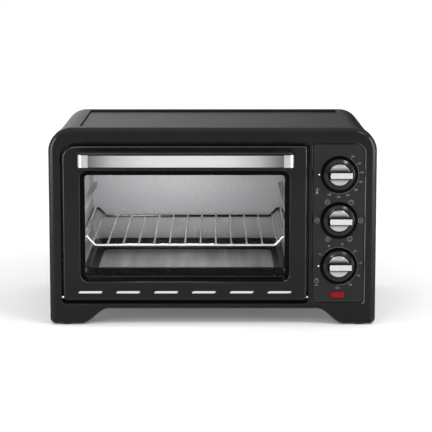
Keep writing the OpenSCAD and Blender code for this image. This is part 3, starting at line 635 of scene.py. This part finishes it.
SLOTS = 6
SLOT_W = 33.5 * MM
SLOT_H = 3.4 * MM
SLOT_MARGIN = 21.4 * MM
SLOT_UP = 11.2 * MM
SLOT_LEAN = 2.2 * MM
SKIN = 2 * MM
SLOT_EDGE = 0.35 * MM
DOOR_EDGE = 2.6 * MM
DOOR_RETURN = 1.5 * MM
WINDOW_EDGE = 1.2 * MM
STRIP_LAP = 4 * MM
STRIP_GAP = 0.1 * MM
STRIP_T = 0.7 * MM
WINDOW = (bezel_low.x + WINDOW_LAP, bezel_low.z + WINDOW_LAP,
          bezel_high.x - WINDOW_LAP, bezel_high.z - WINDOW_LAP, [WINDOW_R] * 4)
# The window border's section as (outset from the window, depth behind the door's face) in mm
BEZEL = [(4, 2.05), (0, 2.05), (-0.8, 2.3), (-2.2, 3.3), (-4.6, 4.1), (-6.2, 4.5), (-6.8, 4.9), (4, 4.9)]


def slot_outline(x, z, grow=0.0):
    """A vent slot with slanted, rounded ends, from the lower left one round."""
    r = SLOT_H / 2 + grow
    low = arc(x + r, z, r, 180, 270, 4) + arc(x + SLOT_W - r, z, r, 270, 360, 4)
    high = arc(x + SLOT_W - r, z, r, 0, 90, 4) + arc(x + r, z, r, 90, 180, 4)
    return [(px + SLOT_LEAN * (pz - z) / SLOT_H, pz) for px, pz in low + high]


def slot_places():
    pitch = (door_high.x - door_low.x - 2 * SLOT_MARGIN - SLOT_W) / (SLOTS - 1)
    return [door_low.x + SLOT_MARGIN + i * pitch for i in range(SLOTS)]


def slot_rings(x):
    """A vent slot's softened edge and its wall through the skin."""
    z = door_low.z + SLOT_UP
    rings = [facing(slot_outline(x, z, d), y) for d, y in edge(SLOT_EDGE, FRONT_Y, n=3)]
    return rings + [facing(slot_outline(x, z), FRONT_Y + SKIN)]


def make_door_panel():
    bm = bmesh.new()
    box = (door_low.x, door_low.z, door_high.x, door_high.z, DOOR_RADII)
    back, inner = door_high.y, rounded(*box, grow=-DOOR_RETURN)
    outer = [facing(rounded(*box, grow=-d), y) for d, y in edge(DOOR_EDGE, FRONT_Y, n=6)]
    outer += [facing(rounded(*box), back), facing(inner, back), facing(inner, FRONT_Y + SKIN)]
    window = [facing(rounded(*WINDOW, grow=d), y) for d, y in edge(WINDOW_EDGE, FRONT_Y, n=4)]
    window.append(facing(rounded(*WINDOW), FRONT_Y + SKIN))
    add_plate(bm, [outer, window] + [slot_rings(x) for x in slot_places()])
    skin = finish_mesh("door_face", bm, LOOKS["door"], "door", ["door_panel"])
    recolour(skin, LOOKS["edge"], lambda face: 0.05 < abs(face.normal.y) < 0.97)


def make_window_bezel():
    """The dished border round the window: rings along its section, the last one joined to the first."""
    bm = bmesh.new()
    rings = [facing(rounded(*WINDOW, grow=d * MM), FRONT_Y + y * MM) for d, y in BEZEL]
    add_rings(bm, rings + rings[:1], capped=False)
    finish_mesh("window_surround", bm, LOOKS["bezel"], "door", ["window_bezel"])


def make_vent_strip():
    """The bright strip that shows through the door's vent slots."""
    bm = bmesh.new()
    z = door_low.z + SLOT_UP
    x0, x1 = door_low.x + SLOT_MARGIN - STRIP_LAP, door_high.x - SLOT_MARGIN + STRIP_LAP
    shape = rounded(x0, z - SLOT_H, x1, z + SLOT_H, [1 * MM] * 4, n=4)
    front = FRONT_Y + SKIN + STRIP_GAP
    add_rings(bm, [facing(shape, front), facing(shape, front + STRIP_T)])
    finish_mesh("vent_strip", bm, LOOKS["strip"], "door")


make_door_panel()
make_window_bezel()
make_vent_strip()

# ---- handle ----

SEAM = 15 * MM
LIP = 3.5 * MM
TRIM_GAP = 0.1 * MM
CAP_LAP = 0.5 * MM


def handle_plan():
    """The handle seen from above: a flat front, rounded noses, and ends that taper back to the door."""
    x0, x1 = caps_low.x, caps_high.x
    front, door = handle_low.y, FRONT_Y
    nose, taper, bow = 9 * MM, 7 * MM, 1.3 * MM
    middle, half = (x0 + x1) / 2, (x1 - x0) / 2 - nose
    left = [(x0 + taper, door), (x0 + 0.62 * taper, door - 12 * MM), (x0 + 0.28 * taper, front + 24 * MM),
            (x0 + 0.07 * taper, front + 17 * MM)]
    left += arc(x0 + nose, front + nose + bow, nose, 180, 262, 10)
    seams = [x + d * 0.15 * MM for x in (x0 + SEAM, x1 - SEAM) for d in (-1, 1)]
    face = sorted([middle + half * i / 16 for i in range(-16, 17)] + seams)
    front_points = [(x, front + bow * abs((x - middle) / half) ** 5) for x in face]
    right = [(x0 + x1 - x, y) for x, y in reversed(left)]
    inner_r, bar = HANDLE_INNER_R, front + HANDLE_BAR
    post0, post1 = x0 + HANDLE_POST, x1 - HANDLE_POST
    inner = [(post1, door)] + arc(post1 - inner_r, bar + inner_r, inner_r, 0, -90, 8)
    inner += arc(post0 + inner_r, bar + inner_r, inner_r, -90, -180, 8) + [(post0, door)]
    return left + front_points + right + inner


def skin_depth(distance):
    """Insets the handle's outer faces in full, and its finger side and its feet on the door less."""
    return lambda n: distance * max(0.15, min(1, 0.5 - n.y * 0.9)) if abs(n.x) < 0.9 else distance


# How the handle's upper edge is rounded, as (inset, distance below the top) in mm
HANDLE_ROUND = [(1.6, 0), (0.6, 0.5), (0.1, 1.4), (0, 2.2)]


def make_handle_body():
    """The black body, with a shallow step all round that the brushed face and the end caps fill."""
    bm = bmesh.new()
    plan = handle_plan()
    z0, z1 = handle_low.z, handle_high.z
    low, high = z0 + LIP, z1 - LIP
    profile = [(d, z0 + z * MM) for d, z in HANDLE_ROUND]
    profile += [(0, low - 0.4 * MM), (0.4, low), (HANDLE_SKIN / MM, low)]
    profile += [(HANDLE_SKIN / MM, high), (0.4, high), (0, high + 0.4 * MM)]
    profile += [(d, z1 - z * MM) for d, z in reversed(HANDLE_ROUND)]
    add_rings(bm, [level(moved_in(plan, skin_depth(d * MM)), z) for d, z in profile])
    finish_mesh("handle_core", bm, LOOKS["handle_plastic"], "door", ["handle_body"])


def add_skin(bm, pick, low, high):
    """A bent sheet over the picked stretch of the plan, with softened upper and lower edges."""
    plan = handle_plan()
    chosen = [i for i, p in enumerate(plan) if pick(p)]
    rings = []
    for d, z in ((0.4, low), (0.02, low + 0.35 * MM), (0.02, high - 0.35 * MM), (0.4, high)):
        outer, inner = moved_in(plan, d * MM), moved_in(plan, HANDLE_SKIN - 0.05 * MM)
        rings.append(level([outer[i] for i in chosen] + [inner[i] for i in reversed(chosen)], z))
    add_rings(bm, rings)


def make_handle_trim():
    bm = bmesh.new()
    x0, x1 = caps_low.x + SEAM, caps_high.x - SEAM
    front = handle_low.y + 4 * MM
    low, high = handle_low.z + LIP + TRIM_GAP, handle_high.z - LIP - TRIM_GAP
    add_skin(bm, lambda p: p[1] < front and x0 < p[0] < x1, low, high)
    # Its face carries a painted highlight and painted shade
    finish_mesh("handle_band", bm, LOOKS["trim"], "door", ["handle_trim"])


def make_handle_caps():
    bm = bmesh.new()
    back = handle_low.y + HANDLE_BAR
    low, high = handle_low.z + LIP - CAP_LAP, handle_high.z - LIP + CAP_LAP
    left_end, right_end = caps_low.x + SEAM, caps_high.x - SEAM
    add_skin(bm, lambda p: p[1] < back and p[0] < left_end, low, high)
    add_skin(bm, lambda p: p[1] < back and p[0] > right_end, low, high)
    finish_mesh("handle_ends", bm, LOOKS["cap"], "door", ["handle_caps"])


make_handle_body()
make_handle_trim()
make_handle_caps()

# ---- knobs ----

TO_FRONT = Matrix.Rotation(math.radians(90), 3, "X")
# The turned parts' profiles, as (radius, distance in front of the panel) in mm
SKIRT = [(0, 0.4), (24.1, 0.4), (24.75, 0.9), (24.75, 2.0), (24.4, 2.6), (22.6, 3.1), (22.1, 3.0),
         (21.8, 2.9), (21.5, 3.1), (19.2, 4.3), (16.4, 5.6), (15.9, 5.7), (15.6, 5.6), (15.4, 5.3),
         (15.3, 4.9), (0, 4.9)]
DISC = [(0, 4.95), (14.9, 4.95), (15.1, 5.2), (15.0, 5.7), (14.6, 6.0), (14.2, 6.05), (12, 5.9), (6, 5.8),
        (0, 5.75)]
# The grip's outlines seen from the front, as (x, z) from the knob's axis in mm: its body, face and rim
GRIP_CORE = [(-17.1, 0), (-14.2, -5.0), (16.9, -5.2), (18.2, -4.0), (18.2, 4.0), (16.9, 5.2), (-14.2, 5.0)]
GRIP_FACE = [(-13.4, 0), (-12.3, -3.6), (16.6, -3.6), (17.2, -3.0), (17.2, 3.0), (16.6, 3.6), (-12.3, 3.6)]
GRIP_RIM = [(-13.6, 0), (-12.6, -4.0), (17.0, -4.0), (17.6, -3.3), (17.6, 3.3), (17.0, 4.0), (-12.6, 4.0)]
GRIP_OUT = 17 * MM
# The grip's silver parts: outline, how far their back and front lie behind its end, and edge, in mm
GRIP_LAYERS = ((GRIP_FACE, 2, 0, 0.5), (GRIP_RIM, 1, 0.25, 0.2))
SHINE_R = (16.6 * MM, 21.7 * MM)


def add_bar(bm, shape, place, low, high, soft):
    """A bar that stands out of a knob, with softened outer edges."""
    points = [(place.x + x * MM, place.y + z * MM) for x, z in shape]
    rings = [facing(points, PANEL_Y - low)]
    rings += [facing(moved_in(points, d), y) for d, y in reversed(edge(soft, PANEL_Y - high, n=4))]
    add_rings(bm, rings)


def make_knob_ring(name, place, axis, body):
    """The black skirt with the grip's body on it. Outside the cone between the two radii it takes the
    near-black of the window's border: painted shade that dulls its shine there.
    """
    bm = bmesh.new()
    add_lathe(bm, [(r * MM, h * MM) for r, h in SKIRT], axis, TO_FRONT, 96)
    add_bar(bm, GRIP_CORE, place, 4.5 * MM, GRIP_OUT - 1.6 * MM, 0.5 * MM)
    ring = finish_mesh(name + "_ring", bm, LOOKS["knob_black"], body, [name + "_skirt"])

    def in_painted_shade(face):
        reach = math.hypot(face.center.x - axis.x, face.center.z - axis.z)
        return not SHINE_R[0] <= reach <= SHINE_R[1]

    # Outside the cone: painted shade
    recolour(ring, LOOKS["bezel"], in_painted_shade)


def make_knob(name, place):
    axis = Vector((place.x, PANEL_Y, place.y))
    body = name + "_knob"
    make_knob_ring(name, place, axis, body)
    bm = bmesh.new()
    add_lathe(bm, [(r * MM, h * MM) for r, h in DISC], axis, TO_FRONT, 96)
    # The disc's colour carries painted light and shade
    finish_mesh(name + "_disc", bm, LOOKS["disc"], body, [name + "_grip"])
    bm = bmesh.new()
    for shape, back, front, soft in GRIP_LAYERS:
        add_bar(bm, shape, place, GRIP_OUT - back * MM, GRIP_OUT - front * MM, soft * MM)
    finish_mesh(name + "_handgrip", bm, LOOKS["silver"], body, [name + "_grip"])


for knob_name, knob_place in KNOBS.items():
    make_knob(knob_name, knob_place)

# ---- print on the panel ----

PRINT_T = 0.05 * MM
SCALE_R = 27.4 * MM
SCALE_LINE = 0.22 * MM
TICK_R = (27.2 * MM, 28.9 * MM)
TICK_LINE = 0.4 * MM
OFF_DOT_R = 28.6 * MM
FIGURE_R = 31.9 * MM
FIGURE_SIZE = 3.5 * MM
SYMBOL_R = 31 * MM
UNIT_SIZE = 3.2 * MM
# The scales' figures with their angles, clockwise from the top
HEAT_MARKS = [(str(100 + 20 * i), 36 + 24.3 * i) for i in range(8)]
MINUTE_MARKS = [("15", -58), ("30", -26), ("45", 9), ("60", 47), ("75", 82), ("90", 116), ("105", 148),
                ("120", 183)]
# The function dial's symbols: an angle, and the bars in its ring as (x, z, half width, half height) in mm
SYMBOLS = [(-90, [(0, 0, 1.8, 0.35), (0, 1.2, 1, 0.3)]), (-32, [(0, 0, 1.7, 0.35)]),
           (33, [(0, 1.3, 1.6, 0.3)]), (90, [(0, 0, 0.8, 0.8)]), (150, [(0, -1.3, 1.6, 0.3)]),
           (210, [(0, 1.3, 1.4, 0.3), (0, -0.4, 0.4, 1.2)])]
# Where the two signs stand, seen from their dials
THERMOMETER_AT = Vector((-31.4, -23.5)) * MM
WATCH_AT = Vector((-31.2, -21.5)) * MM


def clock(centre, r, angle):
    """The point at a radius and an angle, measured clockwise from the top."""
    turn = math.radians(angle)
    return Vector((centre.x + r * math.sin(turn), centre.y + r * math.cos(turn)))


def add_print(bm, outline):
    add_rings(bm, [facing(outline, PANEL_Y - PRINT_T), facing(outline, PANEL_Y - 0.01 * MM)])


def add_arc_print(bm, centre, r, width, start, end):
    n = max(4, int(abs(end - start) / 5))
    angles = [start + (end - start) * i / n for i in range(n + 1)]
    outer = [tuple(clock(centre, r + width / 2, a)) for a in angles]
    inner = [tuple(clock(centre, r - width / 2, a)) for a in reversed(angles)]
    add_print(bm, outer + inner)


def add_ring_print(bm, centre, r, width):
    """A whole ring, as two half arcs."""
    for start in (0, 180):
        add_arc_print(bm, centre, r, width, start, start + 180)


def add_tick(bm, centre, r0, r1, angle, width):
    turn = math.radians(angle)
    across = Vector((math.cos(turn), -math.sin(turn))) * width / 2
    a, b = clock(centre, r0, angle), clock(centre, r1, angle)
    add_print(bm, [tuple(a - across), tuple(b - across), tuple(b + across), tuple(a + across)])


def add_bar_print(bm, place, x0, z0, x1, z1, r, n):
    """A bar with rounded corners, its sizes in mm from a place."""
    box = [place.x + x0 * MM, place.y + z0 * MM, place.x + x1 * MM, place.y + z1 * MM]
    add_print(bm, rounded(*box, [r * MM] * 4, n=n))


def add_dot(bm, centre, r):
    add_print(bm, circle(centre, r, 20))


def add_label(name, text, place, size):
    curve = bpy.data.curves.new(name, "FONT")
    curve.body = text
    curve.size = size
    curve.align_x = "CENTER"
    curve.align_y = "CENTER"
    curve.extrude = 0.01 * MM
    curve.offset = 0.04 * MM
    curve.materials.append(LOOKS["print"])
    label = bpy.data.objects.new(name, curve)
    label.location = (place.x, PANEL_Y - PRINT_T, place.y)
    label.rotation_euler = (math.radians(90), 0, 0)
    bpy.context.scene.collection.objects.link(label)
    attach(label, "cabinet")


def add_scale(bm, name, centre, marks):
    """A scale's arc, its ticks and its figures, given as (figure, angle), and its bright dot for off."""
    add_arc_print(bm, centre, SCALE_R, SCALE_LINE, marks[0][1], marks[-1][1])
    for text, angle in marks:
        add_tick(bm, centre, *TICK_R, angle, TICK_LINE)
        add_label(name + "_" + text, text, clock(centre, FIGURE_R, angle), FIGURE_SIZE)
    dot = bmesh.new()
    add_dot(dot, clock(centre, OFF_DOT_R, -90), 1.1 * MM)
    finish_mesh(name + "_off_dot", dot, LOOKS["bright_print"], "cabinet", angle=20)


def add_symbol(bm, centre, glyph):
    """A heating symbol: a ring with bars inside it."""
    add_ring_print(bm, centre, 3.3 * MM, 0.55 * MM)
    for x, z, w, h in glyph:
        corners = ((x - w, z - h), (x + w, z - h), (x + w, z + h), (x - w, z + h))
        add_print(bm, [(centre.x + across * MM, centre.y + up * MM) for across, up in corners])


def add_thermometer(bm, place):
    """A stem, its bulb, and three marks beside it."""
    add_bar_print(bm, place, -0.8, -2, 0.8, 4, 0.7, 4)
    add_dot(bm, place - Vector((0, 2.6 * MM)), 1.7 * MM)
    for up in (1.2, 2.6, 4.0):
        add_bar_print(bm, place, 1.6, up - 0.2, 3.4, up + 0.2, 0.1, 1)


def add_watch(bm, place):
    """A stopwatch's ring, button and hand, with its unit below."""
    add_ring_print(bm, place, 2.7 * MM, 0.6 * MM)
    add_tick(bm, place, 3.0 * MM, 4.3 * MM, 0, 1.2 * MM)
    add_tick(bm, place, 0, 1.8 * MM, 45, 0.5 * MM)
    add_label("minutes_unit", "min", place - Vector((0, 6 * MM)), UNIT_SIZE)


def make_print():
    bm = bmesh.new()
    add_scale(bm, "heat", KNOBS["temperature"], HEAT_MARKS)
    add_scale(bm, "minutes", KNOBS["timer"], MINUTE_MARKS)
    for angle, glyph in SYMBOLS:
        add_symbol(bm, clock(KNOBS["function"], SYMBOL_R, angle), glyph)
    add_thermometer(bm, KNOBS["temperature"] + THERMOMETER_AT)
    add_watch(bm, KNOBS["timer"] + WATCH_AT)
    finish_mesh("panel_print", bm, LOOKS["print"], "cabinet", angle=20)


make_print()

# ---- rack and tray ----

# Wire radii, how far wires end short of, overlap or sink into each other, and the end rails' drop and slope
SIDE_R = 2 * MM
SIDE_END = 0.4 * MM
RAIL_R = 1.8 * MM
RAIL_IN = 3 * MM
RAIL_DROP = 12 * MM
RAIL_SLOPE = (5.2 * MM, 16.6 * MM)
RAIL_BEND_R = 2.6 * MM
CROSS_R = 1.3 * MM
CROSS_WIRES = 13
CROSS_MARGIN = 13.3 * MM
CROSS_OVER = 2 * MM
CROSS_SINK = 0.4 * MM
# The tray's wall as (inset, height from its rim) in mm, from below its floor round the rim to its floor
TRAY_WALL = [(18, -18), (15, -17.4), (13.6, -15.8), (8.6, -2.4), (7.4, -1.3), (0.7, -1.3), (0, -0.7),
             (0.6, -0.05), (2, 0), (6.8, 0), (8.4, -0.8), (9.4, -2.4), (14.4, -15.4), (15.6, -16.8),
             (18, -17.2)]
TRAY_R = 18
TRAY_INNER_R = 6
TRAY_R_LOSS = 0.45


def add_tube(bm, path, r, sides=14):
    """A round wire along a path of points, with closed ends."""
    around = [2 * math.pi * k / sides for k in range(sides)]
    rings = []
    for i, p in enumerate(path):
        ahead = (path[min(i + 1, len(path) - 1)] - path[max(i - 1, 0)]).normalized()
        side = ahead.cross(Vector((0.13, 0.27, 0.95))).normalized()
        up = side.cross(ahead)
        rings.append([p + side * r * math.cos(t) + up * r * math.sin(t) for t in around])
    add_rings(bm, rings)


def soft_path(corners, r, n=6):
    """Straight runs through the corner points, with an arc-like bend at each inner one."""
    path = [corners[0]]
    for before, at, after in zip(corners, corners[1:], corners[2:]):
        a = at + (before - at).normalized() * r
        b = at + (after - at).normalized() * r
        path += [a.lerp(at, t).lerp(at.lerp(b, t), t) for t in [i / n for i in range(n + 1)]]
    return path + [corners[-1]]


def rail_corners(left, right, y, z):
    """An end rail's corners: its raised ends on the side wires, and its low stretch between them."""
    raised, sloped = RAIL_SLOPE
    half = [(0, z), (raised, z), (sloped, z - RAIL_DROP)]
    return ([Vector((left + x, y, up)) for x, up in half]
            + [Vector((right - x, y, up)) for x, up in reversed(half)])


def make_rack():
    bm = bmesh.new()
    left, right, z = rack_low.x + SIDE_R, rack_high.x - SIDE_R, rack_high.z - SIDE_R
    front, back = rack_low.y + RAIL_IN, rack_high.y - RAIL_IN
    for y in (front, back):
        add_tube(bm, soft_path(rail_corners(left, right, y, z), RAIL_BEND_R), RAIL_R)
    for x in (left, right):
        add_tube(bm, [Vector((x, y, z)) for y in (rack_low.y + SIDE_END, rack_high.y - SIDE_END)], SIDE_R)
    pitch = (right - left - 2 * CROSS_MARGIN) / (CROSS_WIRES - 1)
    cross_z = z - RAIL_DROP + RAIL_R + CROSS_R - CROSS_SINK
    for i in range(CROSS_WIRES):
        x = left + CROSS_MARGIN + pitch * i
        add_tube(bm, [Vector((x, y, cross_z)) for y in (front - CROSS_OVER, back + CROSS_OVER)], CROSS_R, 12)
    rack = finish_mesh("rack_wires", bm, LOOKS["chrome"], "rack", ["wire_rack"], angle=40)
    # The end rails get their own colours: a painted highlight along the front one, and a painted highlight
    # near the left end of the rear one
    for y, chrome in ((front, "highlit_front_wire"), (back, "highlit_back_wire")):
        recolour(rack, LOOKS[chrome], lambda face, y=y: abs(face.center.y - y) < RAIL_R + 0.1 * MM)


def make_tray():
    bm = bmesh.new()
    rings = []
    for inset, height in TRAY_WALL:
        d, r = inset * MM, max(TRAY_R - inset * TRAY_R_LOSS, TRAY_INNER_R) * MM
        shape = rounded(tray_low.x + d, tray_low.y + d, tray_high.x - d, tray_high.y - d, [r] * 4)
        rings.append(level(shape, tray_high.z + height * MM))
    add_rings(bm, rings)
    tray = finish_mesh("tray_pan", bm, LOOKS["enamel"], "tray", ["baking_tray"], angle=45)
    # The floor takes the lighter streaked metal: painted reflection and painted wire shadows
    floor_top = tray_high.z - 12 * MM
    recolour(tray, LOOKS["tray_floor_painted_light"], lambda face: face.normal.z > 0.8 and face.center.z < floor_top)


make_rack()
make_tray()

# ---- camera, floor and light ----

# The camera's metres before the oven's face, above the floor and right of its middle, degrees down, and lens
CAMERA_AWAY = 2.573
CAMERA_HEIGHT = 0.5507
CAMERA_ASIDE = 4.8 * MM
CAMERA_DOWN = 8.69
CAMERA_LENS = 152.9
# Each light's name, place, size and power. It faces the middle of the oven's front
AREA_LIGHTS = [
    ("window_key", (-0.62, -2.2, 1.2), (0.4, 0.4), 12),
    ("left_strip", (-1.6, -0.7, 0.5), (0.35, 1.0), 14),
    ("right_strip", (1.6, -0.7, 0.5), (0.35, 1.0), 16),
    ("upper_right", (1.0, -1.2, 1.5), (0.5, 0.5), 12),
]
OVEN_GLOW = 0.34
FLOOR_R = 6
FLOOR_GREY = 0.62
# The floor's own glow near the oven and far from it, and the distances between which it grows
FLOOR_GLOW = (0.1, 0.3)
FLOOR_GLOW_FROM = 0.35
FLOOR_GLOW_TO = 1.1
# The studio's walls, left and right behind the oven and in front of it, and its ceiling
BACK_WALL = (0.6, 0.0)
FRONT_WALL = 0.7
CEILING = 1.5


def make_camera():
    data = bpy.data.cameras.new("camera")
    data.lens = CAMERA_LENS
    data.sensor_width = 36
    data.clip_end = 100
    camera = bpy.data.objects.new("camera", data)
    camera.location = (CAMERA_ASIDE, FRONT_Y - CAMERA_AWAY, CAMERA_HEIGHT)
    camera.rotation_euler = (math.radians(90 - CAMERA_DOWN), 0, 0)
    bpy.context.scene.collection.objects.link(camera)
    bpy.context.scene.camera = camera


def area_light(name, place, target, size, power):
    data = bpy.data.lights.new(name, "AREA")
    data.shape = "RECTANGLE"
    data.size, data.size_y = size
    data.energy = power
    lamp = bpy.data.objects.new(name, data)
    lamp.location = place
    lamp.rotation_euler = (Vector(target) - Vector(place)).to_track_quat("-Z", "Y").to_euler()
    bpy.context.scene.collection.objects.link(lamp)


def make_floor():
    bm = bmesh.new()
    bmesh.ops.create_circle(bm, cap_ends=True, segments=96, radius=FLOOR_R)
    mesh = bpy.data.meshes.new("floor")
    bm.to_mesh(mesh)
    bm.free()
    floor = bpy.data.objects.new("floor", mesh)
    bpy.context.scene.collection.objects.link(floor)
    material, nodes, links, shader = new_material("floor_white", 0.7, specular=0.2)
    field = noise_field(nodes, links, 0.4)
    links.new(tint(nodes, links, field, grey(FLOOR_GREY), 0.005), shader.inputs["Base Color"])
    shader.inputs["Emission Color"].default_value = (1, 1, 1, 1)
    place = nodes.new("ShaderNodeTexCoord")
    length = nodes.new("ShaderNodeVectorMath")
    length.operation = "LENGTH"
    links.new(place.outputs["Object"], length.inputs[0])
    glow = ranged(nodes, links, length.outputs["Value"], FLOOR_GLOW_FROM, FLOOR_GLOW_TO, *FLOOR_GLOW)
    links.new(glow, shader.inputs["Emission Strength"])
    mesh.materials.append(material)


def mixed(nodes, links, share, a, b):
    """Goes from a to b, each a number or a socket, as the share grows."""
    node = nodes.new("ShaderNodeMix")
    node.data_type = "FLOAT"
    links.new(share, node.inputs["Factor"])
    for socket, value in ((node.inputs["A"], a), (node.inputs["B"], b)):
        if isinstance(value, float):
            socket.default_value = value
        else:
            links.new(value, socket)
    return node.outputs["Result"]


def make_world():
    """A white studio: plain white to the camera, with soft walls and a soft ceiling in reflections."""
    world = bpy.data.worlds.new("studio")
    bpy.context.scene.world = world
    world.use_nodes = True
    nodes, links = world.node_tree.nodes, world.node_tree.links
    direction = nodes.new("ShaderNodeTexCoord")
    split = nodes.new("ShaderNodeSeparateXYZ")
    links.new(direction.outputs["Generated"], split.inputs["Vector"])
    x, y, z = split.outputs["X"], split.outputs["Y"], split.outputs["Z"]
    back_wall = ranged(nodes, links, x, -0.2, 0.2, *BACK_WALL)
    behind = ranged(nodes, links, y, -0.3, 0.4, 0, 1)
    walls = mixed(nodes, links, behind, FRONT_WALL, back_wall)
    up = ranged(nodes, links, z, 0.25, 0.75, 0, 1)
    radiance = mixed(nodes, links, up, walls, CEILING)
    around = nodes["Background"]
    around.inputs["Color"].default_value = (1, 1, 1, 1)
    links.new(radiance, around.inputs["Strength"])
    seen = nodes.new("ShaderNodeBackground")
    seen.inputs["Color"].default_value = (1, 1, 1, 1)
    path = nodes.new("ShaderNodeLightPath")
    mix = nodes.new("ShaderNodeMixShader")
    links.new(path.outputs["Is Camera Ray"], mix.inputs["Fac"])
    links.new(around.outputs["Background"], mix.inputs[1])
    links.new(seen.outputs["Background"], mix.inputs[2])
    links.new(mix.outputs["Shader"], nodes["World Output"].inputs["Surface"])


def make_oven_glow():
    """A small light under the cavity's ceiling, out of sight, for its brightness in the photo."""
    back_low, back_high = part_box("cavity_back")
    x, y, z = back_low.x + 120 * MM, door_high.y + 24 * MM, back_high.z - 12 * MM
    target = (x - 20 * MM, back_low.y, -150 * MM)
    area_light("oven_glow", (x, y, z), target, (150 * MM, 15 * MM), OVEN_GLOW)


def make_light():
    for name, place, size, power in AREA_LIGHTS:
        area_light(name, place, (0, FRONT_Y, 0.15), size, power)
    make_oven_glow()
    make_world()
    bpy.context.scene.view_settings.view_transform = "Standard"


make_camera()
make_floor()
make_light()
